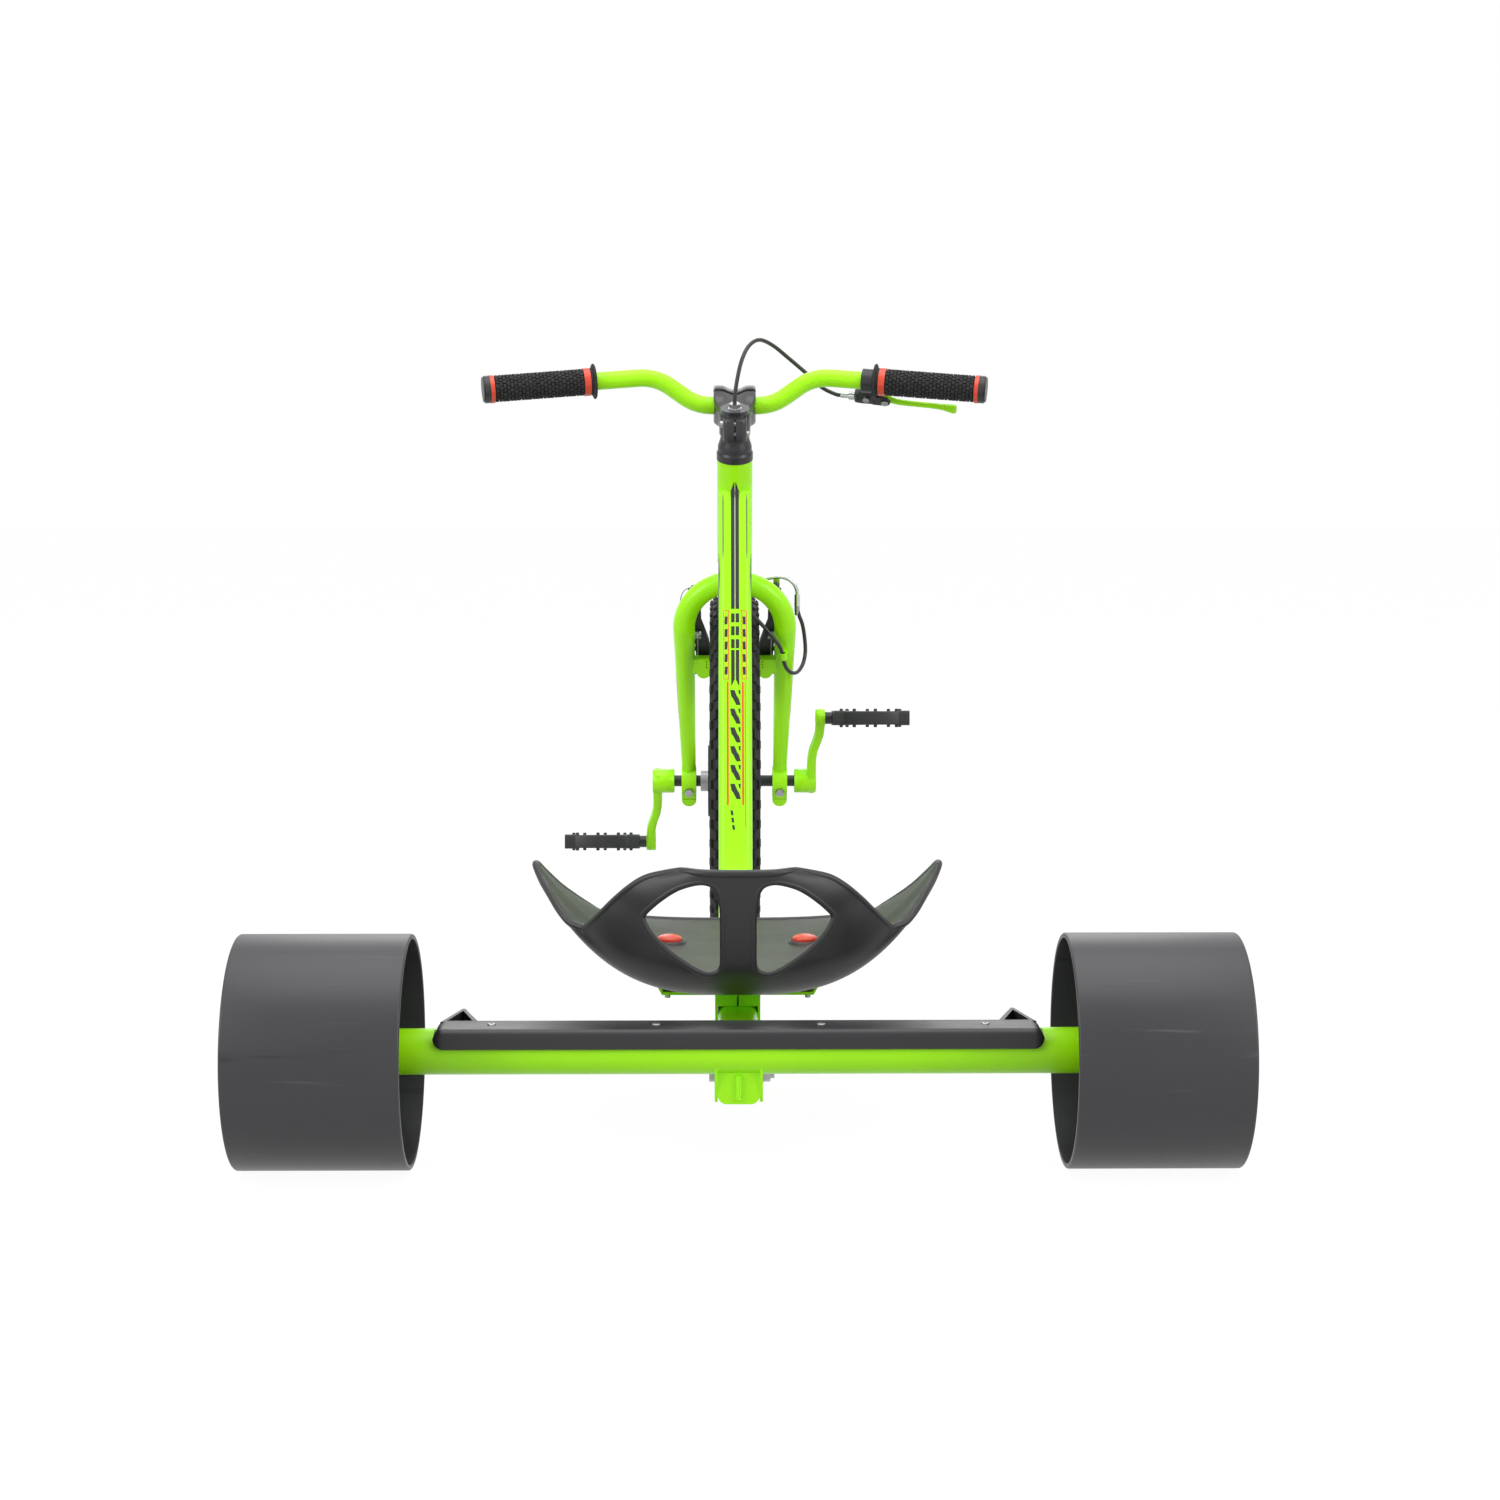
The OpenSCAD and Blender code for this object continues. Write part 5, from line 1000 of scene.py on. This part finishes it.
rubber = dusty_rubber("grip_rubber", (160.0, 5.0), 0.5, 0.6, (0.05, 0.05, 0.052), (0.62, 0.2, 90.0), 900.0)
plug_length, red_out, sleeve_length, red_in, flange_length = 0.007, 0.005, 0.112, 0.008, 0.007
grip_start = bar_end - (plug_length + red_out + sleeve_length + red_in + flange_length)
grip_radius, flange_radius = 0.0165, 0.022
sleeve = grip_start + flange_length + red_in
for sign, side in ((-1, "left"), (1, "right")):
    way = Vector((sign * bar_way.x, bar_way.y, bar_way.z))
    base = on_grip(sign, 0, 0, 0)
    core = grip_radius - 0.0019
    grip = Shape()
    flange = [(0, bar_radius), (0, flange_radius - 0.0012), (0.001, flange_radius), (0.0022, flange_radius),
              (0.0032, flange_radius - 0.0014), (0.0038, 0.0172), (flange_length, 0.0168),
              (flange_length, bar_radius)]
    grip.lathe([(grip_start + x, r) for x, r in flange], base, way, 56, closed=True)
    grip.lathe([(sleeve, bar_radius), (sleeve, core + 0.0006), (sleeve + 0.002, core),
                (sleeve + sleeve_length - 0.002, core), (sleeve + sleeve_length, core + 0.0006),
                (sleeve + sleeve_length, bar_radius)], base, way, 56, closed=True)
    # Rows of blocks: short bars and pairs by turns, set off from row to row
    row_pitch, block_rows, around = 0.0046, 24, 18
    for row in range(block_rows):
        along = sleeve + 0.0030 + row * row_pitch
        for k in range(around):
            a = 2 * pi * (k + 0.5 * (row % 2)) / around
            out = cos(a) * lever_side + sin(a) * lever_flank
            turn = -sin(a) * lever_side + cos(a) * lever_flank
            out, turn = (Vector((sign * v.x, v.y, v.z)) for v in (out, turn))
            long_block = (k + row) % 3 == 0
            half_long = 0.0022 if long_block else 0.0015
            half_wide = 0.0019 if k % 2 else 0.0024
            centre = base + along * way + (core + 0.0006) * out
            grip.block(centre, half_long * way, half_wide * turn, 0.0013 * out, 0.22)
    grip_piece = grip.piece(side + "_grip_rubber", rubber, "steering", "grip_rubber", 30)
    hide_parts(side + "_grip")
dress(red, "grip_rings")
dress(black_plastic, "bar_plugs")


# Brake lever --------------------------------------------------------------
# A cast black holder clamped inside the right grip, with a steel adjuster
# for the cable. The painted blade is thin at its waist and ends in a bell.

dress(steel, "lever_bolts")
lever_pin = Vector(joints["brake_lever_pull"]["pos_m"])
adjuster_side, band_width = 0.031, 0.0146
band_along = grip_start - band_width - 0.0004
holder_along, pin_along = band_along - 0.011, band_along + 0.028


def holder_ring(along, near, far, flank, corner=0.0025):
    """A soft-cornered section of the lever's holder, across the bar."""
    ring = []
    for turn, toward, side in ((0, far, flank), (1, near, flank), (2, near, -flank), (3, far, -flank)):
        for k in range(4):
            a = pi / 2 * (turn + k / 3)
            ring.append(on_grip(1, toward + corner * (cos(a) - (1 if toward == far else -1)),
                                side + corner * (sin(a) - (1 if side > 0 else -1)), along))
    return ring


holder = Shape().lathe(
    [(band_along, bar_radius), (band_along, 0.0143), (band_along + 0.0008, 0.0151),
     (band_along + band_width - 0.0008, 0.0151), (band_along + band_width, 0.0143),
     (band_along + band_width, bar_radius)], on_grip(1, 0, 0, 0), bar_way, 56, closed=True)
holder.rings([holder_ring(holder_along + t, near, far, flank) for t, near, far, flank in (
    (0, 0.0235, 0.0365, 0.0054), (0.001, 0.0225, 0.0375, 0.0062), (0.006, 0.0185, 0.0378, 0.0068),
    (0.0115, 0.0125, 0.0378, 0.007), (0.021, 0.0125, 0.0378, 0.007), (0.0235, 0.0215, 0.0382, 0.0072),
    (0.0242, 0.0222, 0.0382, 0.0072))])
# Two ears hold the blade's pin between them
for low, high in ((-0.007, -0.0043), (0.0043, 0.007)):
    ear = [(-0.0085, -0.0155), (0.0062, -0.0155)]
    ear += [(0.0068 * cos(a), 0.0068 * sin(a)) for a in (pi * k / 12 for k in range(13))] + [(-0.0085, -0.002)]
    holder.rings([[on_grip(1, adjuster_side + x, flank, pin_along + y) for x, y in ear] for flank in (low, high)])
holder_piece = holder.piece("lever_holder", black_metal, "steering", "black_metal", 40)
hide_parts("lever_housing")

blade = Shape()
blade_rows = [
    (0.5, 2, 5.2, 3.7), (2.6, 7, 4.9, 3.5), (4.6, 12.5, 4.6, 3.4), (5.8, 18, 4.2, 3.4), (6.5, 30, 3.7, 3.5),
    (7, 43, 3.4, 3.6), (7.5, 56, 3.4, 3.7), (8.1, 66, 3.7, 3.8), (8.9, 73, 4.3, 4.2), (9.9, 79, 5.1, 4.9),
    (10.6, 83.5, 5.8, 5.6), (11, 86.8, 6, 5.8), (11.2, 88.8, 5, 4.8), (11.3, 89.8, 2.6, 2.4)]
blade.rings([[lever_pin + ((toward + wide * c) * lever_side + deep * s * lever_flank + along * bar_way) / 1000
              for c, s in circle(28)] for toward, along, wide, deep in blade_rows])
blade.lathe(mm((-4, 2.6), (-4, 5.4), (-3.4, 6), (3.4, 6), (4, 5.4), (4, 2.6)),
            lever_pin, lever_flank, 40, closed=True)
blade_piece = blade.piece("brake_blade", green, "brake_lever", "frame_green", 45)
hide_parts("lever_blade")

bright = cloudy("bright_steel", (0.5, 0.5, 0.52), (0.68, 0.68, 0.7), (80.0,), (0.16, 0.12, 160.0), Metallic=1.0)
dress(bright, "barrel_adjuster", "cable_noodle", "cap_bolt")
ribs = Shape()
for c, s in circle(16):
    out = c * lever_side + s * lever_flank
    ribs.block(on_grip(1, adjuster_side, 0, holder_along - 0.004) + 0.0048 * out, 0.0034 * bar_way,
               0.0006 * bar_way.cross(out), 0.0006 * out, 0.3)
ribs.piece("adjuster_ribs", bright, "steering", "bright_steel")


# Brake cable --------------------------------------------------------------
# A black casing that leaves the lever, arches over the stem into the hollow
# steerer, comes out under the crown and loops round the right leg.

cable_radius = 0.0025
stem_top, tube_low, pivot_up = 535, 335, 178
over_route = [(110, 86, 1), (91, 89, 18), (68, 84, 40), (48, 71, 61), (31, 55, 74), (18, 37, 73), (9, 20, 61),
              (3, 7, 40), (0, 0, 17), (0, 0, -15)]
down_route = [
    (0, 0, 145), (0, 0, 95), (0, 0, 45), (0, 0, -5), (0, 0, -35), (2, 0, -49), (9, -2, -60), (20, -7, -69),
    (33, -13, -81), (46, -17, -95), (56, -19, -108), (61, -19.5, -120), (63, -20, -131), (67, -20, -142)]
up_route = [(74, -16, 7), (82, -4, 3), (89, 10, 8), (92, 20, 20), (91, 27, 37), (88, 31, 54), (83, 33, 68),
            (81, 33.5, 79.7)]
route = [on_grip(1, adjuster_side, 0, holder_along - z) for z in (0.0083, 0.016, 0.024)]
for base, rows in ((stem_top, over_route), (tube_low, down_route), (pivot_up, up_route)):
    route += [at_head(x / 1000, e / 1000, (t + base) / 1000) for x, e, t in rows]
cable_path = spline(route, 7)
casing = finish("cable_casing", Roughness=0.36)
feed(casing, Base_Color=mix(casing, noise(casing, 220.0), (0.012, 0.012, 0.013), (0.026, 0.026, 0.028)))
bump(casing, noise(casing, 1500.0), 0.0001, 0.3)
cable = Shape().tube(cable_path, cable_radius, 16)
cable_piece = cable.piece("brake_casing", casing, "steering", "black_plastic", 60)
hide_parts("brake_cable")
cable_length = sum((b - a).length for a, b in zip(cable_path, cable_path[1:]))
dress(green, "cable_clip")
# The ferrule at the silver pipe's mouth
pipe_mouth = at_head(0.081, 0.0335, 0.2577)
ferrules = Shape()
for low, high, radius in mm((-9, 1, 3.4), (-13, -9, 3.1)):
    ferrules.lathe([(low, cable_radius), (low, radius), (high, radius), (high, cable_radius)],
                   pipe_mouth, steer_up, 24, closed=True)
grey_alloy = cloudy("grey_alloy", (0.3, 0.3, 0.32), (0.42, 0.42, 0.44), (150.0,), (0.3, 0.12, 200.0), Metallic=0.9)
ferrules.piece("cable_ferrule", grey_alloy, "steering", "bright_steel")


# Rim brake ------------------------------------------------------------------
# Two black arms on the fork's studs. The silver pipe turns the cable over
# to the left arm, and a bare wire pulls both arms together.

dress(black_metal, "left_brake_arm", "right_brake_arm")
dress(steel, "brake_springs")
dress(bright, "brake_wire")
pad_rubber = cloudy("brake_rubber", (0.016, 0.016, 0.016), (0.04, 0.04, 0.04), (120.0, 4.0), (0.6, 0.2, 90.0),
                    Specular_IOR_Level=0.35)
dress(pad_rubber, "left_brake_pad", "right_brake_pad")
for side, sign in sides:
    trim = Shape()
    # Raised ribs along both edges of the arm, given across and along, and the pad's nut
    for shift in (-5.2, 5.2):
        rib = mm((40 + shift * 0.8, 190), (43.5 + shift * 0.7, 216), (52 + shift * 0.6, 242),
                 (56 + shift * 0.5, 268), (56.5 + shift * 0.5, 283))
        trim.tube([at_head(sign * x, 0.0322, t) for x, t in rib], 0.0012, 8)
    trim.lathe(mm((0, 3.1), (0, 6.2), (1.6, 6.6), (3.2, 6.6), (3.2, 5), (7.2, 4.6), (7.2, 3.1)),
               at_head(sign * 0.0535, 0.026, 0.1998), (sign, 0, 0), 24, closed=True)
    trim.piece(side + "_arm_trim", black_metal, side + "_arm", "black_metal", 40)
    # The stack of washers on its pivot side
    stack = Shape().lathe(
        mm((0, 2), (0, 5.2), (0.6, 5.6), (2.8, 5.6), (3.2, 5), (3.6, 5.6), (6.2, 5.6), (6.6, 4.8), (7, 5.4),
           (8.4, 5.4), (9, 4.8), (9, 2)),
        at_head(sign * 0.043, 0.0155, 0.224), (sign, 0, 0), 32, closed=True)
    stack.piece(side + "_arm_washers", steel, side + "_arm", "bright_steel", 40)


# Front wheel ------------------------------------------------------------------
# A 20-inch spoked wheel: a knobbly black tyre on a double-wall rim, crossed
# steel spokes with plated nipples and a flanged hub.

tyre_rubber = dusty_rubber("tyre_rubber", (60.0, 6.0), 0.48, 0.5, (0.055, 0.053, 0.05), (0.6, 0.25, 150.0), 1200.0)
tyre_middle, tyre_half, tyre_side, tread = 0.229, 0.022, 0.032, 0.003


def wall_arc(inward, start, stop, step):
    """The wall's section, drawn in from the outside, by its angle from the tread's middle in degrees."""
    return [((tyre_side - inward) * sin(radians(a)), tyre_middle + (tyre_half - inward) * cos(radians(a)))
            for a in range(start, stop, step)]


outer_wall, inner_wall = wall_arc(0.0, -152, 153, 8), wall_arc(0.004, 150, -151, -10)
tyre = Shape().lathe(outer_wall + inner_wall, hub, (1, 0, 0), 160, closed=True)


def on_tyre(around, across, proud):
    """A point of the tyre: both angles in degrees, across from the middle of the tread."""
    out = Vector((0, sin(radians(around)), cos(radians(around))))
    x = (tyre_side + proud) * sin(radians(across))
    return hub + Vector((x, 0, 0)) + (tyre_middle + (tyre_half + proud) * cos(radians(across))) * out


def knob(shape, around, across, half_around, half_across, skew=0.0):
    """A tread block with sloped sides, from the tyre's skin to the tread's height."""
    lower, upper = [], []
    for u, w in ((-1, -1), (1, -1), (1, 1), (-1, 1)):
        for ring, proud, grow in ((lower, -0.0006, 1.0), (upper, tread - 0.0001, 0.82)):
            turned = around + grow * (u * half_around + skew * w)
            ring.append(on_tyre(turned, across + grow * w * half_across, proud))
    shape.rings([lower, upper])


# Each row's angle across, its shift and half length around, its half width and its skew, in degrees
knob_rows = ((17, 3, 1.9, 6.5, 0.5), (33, 0, 2, 6.5, 0.6), (49, 3, 1.7, 6, 0), (64, 0, 1.5, 5, 0))
knob_step = 6
for start in range(0, 360, knob_step):
    knob(tyre, start, 0, 1.9, 6.5)
    for sign in both:
        for across, shift, half_around, half_across, skew in knob_rows:
            knob(tyre, start + shift, sign * across, half_around, half_across, skew * sign)
# Bead lines and a fine ring on each wall
for sign in both:
    for across, size in ((78, 0.0005), (112, 0.0006), (128, 0.0005)):
        ring = [on_tyre(360 * k / 120, sign * across, 0.0) for k in range(120)]
        tyre.tube(ring, size, 6, closed=True)
tyre_piece = tyre.piece("knobbly_tyre", tyre_rubber, "front_wheel", "tyre", 30)
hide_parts("front_tyre")

alloy = cloudy("rim_alloy", (0.6, 0.6, 0.62), (0.72, 0.72, 0.74), (40.0, 4.0), (0.26, 0.14, 300.0), (0.2, 1, 1),
               Metallic=1.0)
dress(alloy, "front_rim")
dress(bright, "front_spokes")
dress(black_metal, "front_hub")
nipples = Shape()
spoke_count, rim_inner, nipple_in = 18, 0.191, 0.010
for sign in both:
    for k in range(spoke_count):
        a = radians(k * 360 / spoke_count + (sign + 1) * 90 / spoke_count + (24 if k % 2 == 0 else -24))
        way = Vector((0, cos(a), sin(a)))
        start = hub + Vector((sign * 0.004, 0, 0)) + (rim_inner - nipple_in) * way
        nipples.lathe(mm((0, 1.1), (0, 1.8), (9.5, 1.8), (10.5, 2.6), (12, 2.6), (12, 1.1)),
                      start, way, 12, closed=True)
nipples.piece("spoke_nipples", steel, "front_wheel", "bright_steel")
valve = Shape()
way = Vector((0, cos(0.35), sin(0.35)))
valve.lathe(mm((-30, 0), (-30, 3.4), (-29, 4.2), (-16, 4.2), (-15, 3.4), (1, 3), (1, 0)),
            hub + rim_inner * way, way, 20)
valve.piece("tyre_valve", casing, "front_wheel", "black_plastic")


# Cranks and pedals ------------------------------------------------------------
# Forged green arms on one black spindle through the hub, a toothed disc on
# its left and black cage pedals with moulded studs.

dress(steel, "hub_washers")
dress(black_metal, "crank_spindle", "drive_disc", "pedal_spindles")
crank_back, crank_length, crank_out, crank_thick, crank_step = radians(29), 0.102, 0.109, 0.0125, 0.010
boss_in = 0.080
# Along the arm, outward and half width in millimetres, then the share of the full thickness
arm_rows = [
    (-14, 0, 9.5, 0.72), (-8, 0, 12.6, 0.9), (0, 0, 13.4, 1), (10, 0, 12.2, 1), (22, 0, 10.2, 1),
    (38, 0.2, 8.9, 0.94), (52, 2.2, 8.3, 0.92), (66, 6.6, 8.3, 0.92), (78, 9.4, 8.8, 0.96),
    (90, 10, 10.2, 1), (102, 10, 11.9, 1), (109, 10, 9.8, 0.86), (112.5, 10, 6.2, 0.7)]


def squarish(value):
    """Bulges a sine or cosine, so that a circle becomes a soft-cornered square."""
    return abs(value) ** 0.55 * (1 if value > 0 else -1)


for side, sign in sides:
    angle = crank_back + (pi if sign < 0 else 0)
    along = Vector((0, -sin(angle), cos(angle)))
    turn = Vector((0, cos(angle), sin(angle)))
    arm = Shape()
    rows = []
    for t, out, wide, flat in arm_rows:
        middle = hub + Vector((sign * (crank_out - crank_thick / 2 + out / 1000), 0, 0)) + t / 1000 * along
        deep = Vector((crank_thick / 2 * flat, 0, 0))
        rows.append([middle + squarish(c) * deep + squarish(s) * wide / 1000 * turn for c, s in circle(32)])
    arm.rings(rows)
    # Boss on the spindle and the round eye at the pedal
    start = hub + Vector((sign * boss_in, 0, 0))
    arm.lathe(mm((0, 7.6), (0, 14.8), (1.2, 16), (27.5, 16), (29, 14.6), (29, 7.6)),
              start, (sign, 0, 0), 48, closed=True)
    arm.lathe(mm((0, 5.1), (0, 11.2), (0.8, 12), (11.7, 12), (12.5, 11.2), (12.5, 5.1)),
              hub + Vector((sign * (crank_out - crank_thick + crank_step), 0, 0)) + crank_length * along,
              (sign, 0, 0), 40, closed=True)
    arm_piece = arm.piece(side + "_crank_arm", green, "crankset", "frame_green", 45)
    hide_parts(side + "_crank")


def rounded_bar(shape, middle, along, across, up, corner=0.25):
    """A bar along one half vector, with a round-cornered section and eased ends."""
    rings = []
    for t, size in ((-1, 0.86), (-0.975, 1), (0.975, 1), (1, 0.86)):
        ring = []
        for turn in range(4):
            sx, sy = ((1, 1), (-1, 1), (-1, -1), (1, -1))[turn]
            for k in range(4):
                a = pi / 2 * (turn + k / 3)
                ring.append(middle + t * along + size * ((sx * (1 - corner) + corner * cos(a)) * across
                                                         + (sy * (1 - corner) + corner * sin(a)) * up))
        rings.append(ring)
    shape.rings(rings)


# The cages: a rail front and back with a thicker block at each end, posts and
# bars between them, and studs at uneven places along the rails, in millimetres
rail_off, rail_half, post_off, slat_off = 0.0368, 0.036, 0.044, 0.0185
stud_rows = ((-rail_off, (-39, -22, 5.5, 33)), (rail_off, (-28, -1, 27, 42)))
for side, sign, tilt in (("left", -1, 8.4), ("right", 1, 5.8)):
    centre = Vector(joints[side + "_pedal_spin"]["pos_m"])
    out = Vector((sign, 0, 0))
    fore = Vector((0, cos(radians(tilt)), -sin(radians(tilt))))
    up = Vector((0, sin(radians(tilt)), cos(radians(tilt))))
    cage = Shape()
    for f in (-rail_off, rail_off):
        rounded_bar(cage, centre + f * fore, rail_half * out, 0.0042 * fore, 0.0088 * up)
        for x in (-0.0415, 0.0425):
            rounded_bar(cage, centre + x * out + f * 0.97 * fore, 0.0075 * out, 0.005 * fore, 0.0096 * up, 0.4)
    for x in (-post_off, post_off):
        rounded_bar(cage, centre + x * out, rail_half * fore, 0.0045 * out, 0.0074 * up)
    for f in (-slat_off, slat_off):
        rounded_bar(cage, centre + f * fore, 0.043 * out, 0.0018 * fore, 0.0055 * up)
    cage.lathe(mm((-50, 5.2), (-50, 8.8), (-49, 9.6), (44, 8.8), (46, 7.5), (46, 0)), centre, out, 32)
    for f, places in stud_rows:
        for x in places:
            for z in (-1, 1):
                cage.lathe(mm((8.2, 2.4), (11.2, 2.3), (12.2, 1.7), (12.2, 0)),
                           centre + x / 1000 * out + f * fore, z * up, 10)
    cage_piece = cage.piece(side + "_pedal_cage", black_plastic, side + "_pedal_body", "black_plastic", 40)
    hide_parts(side + "_pedal")
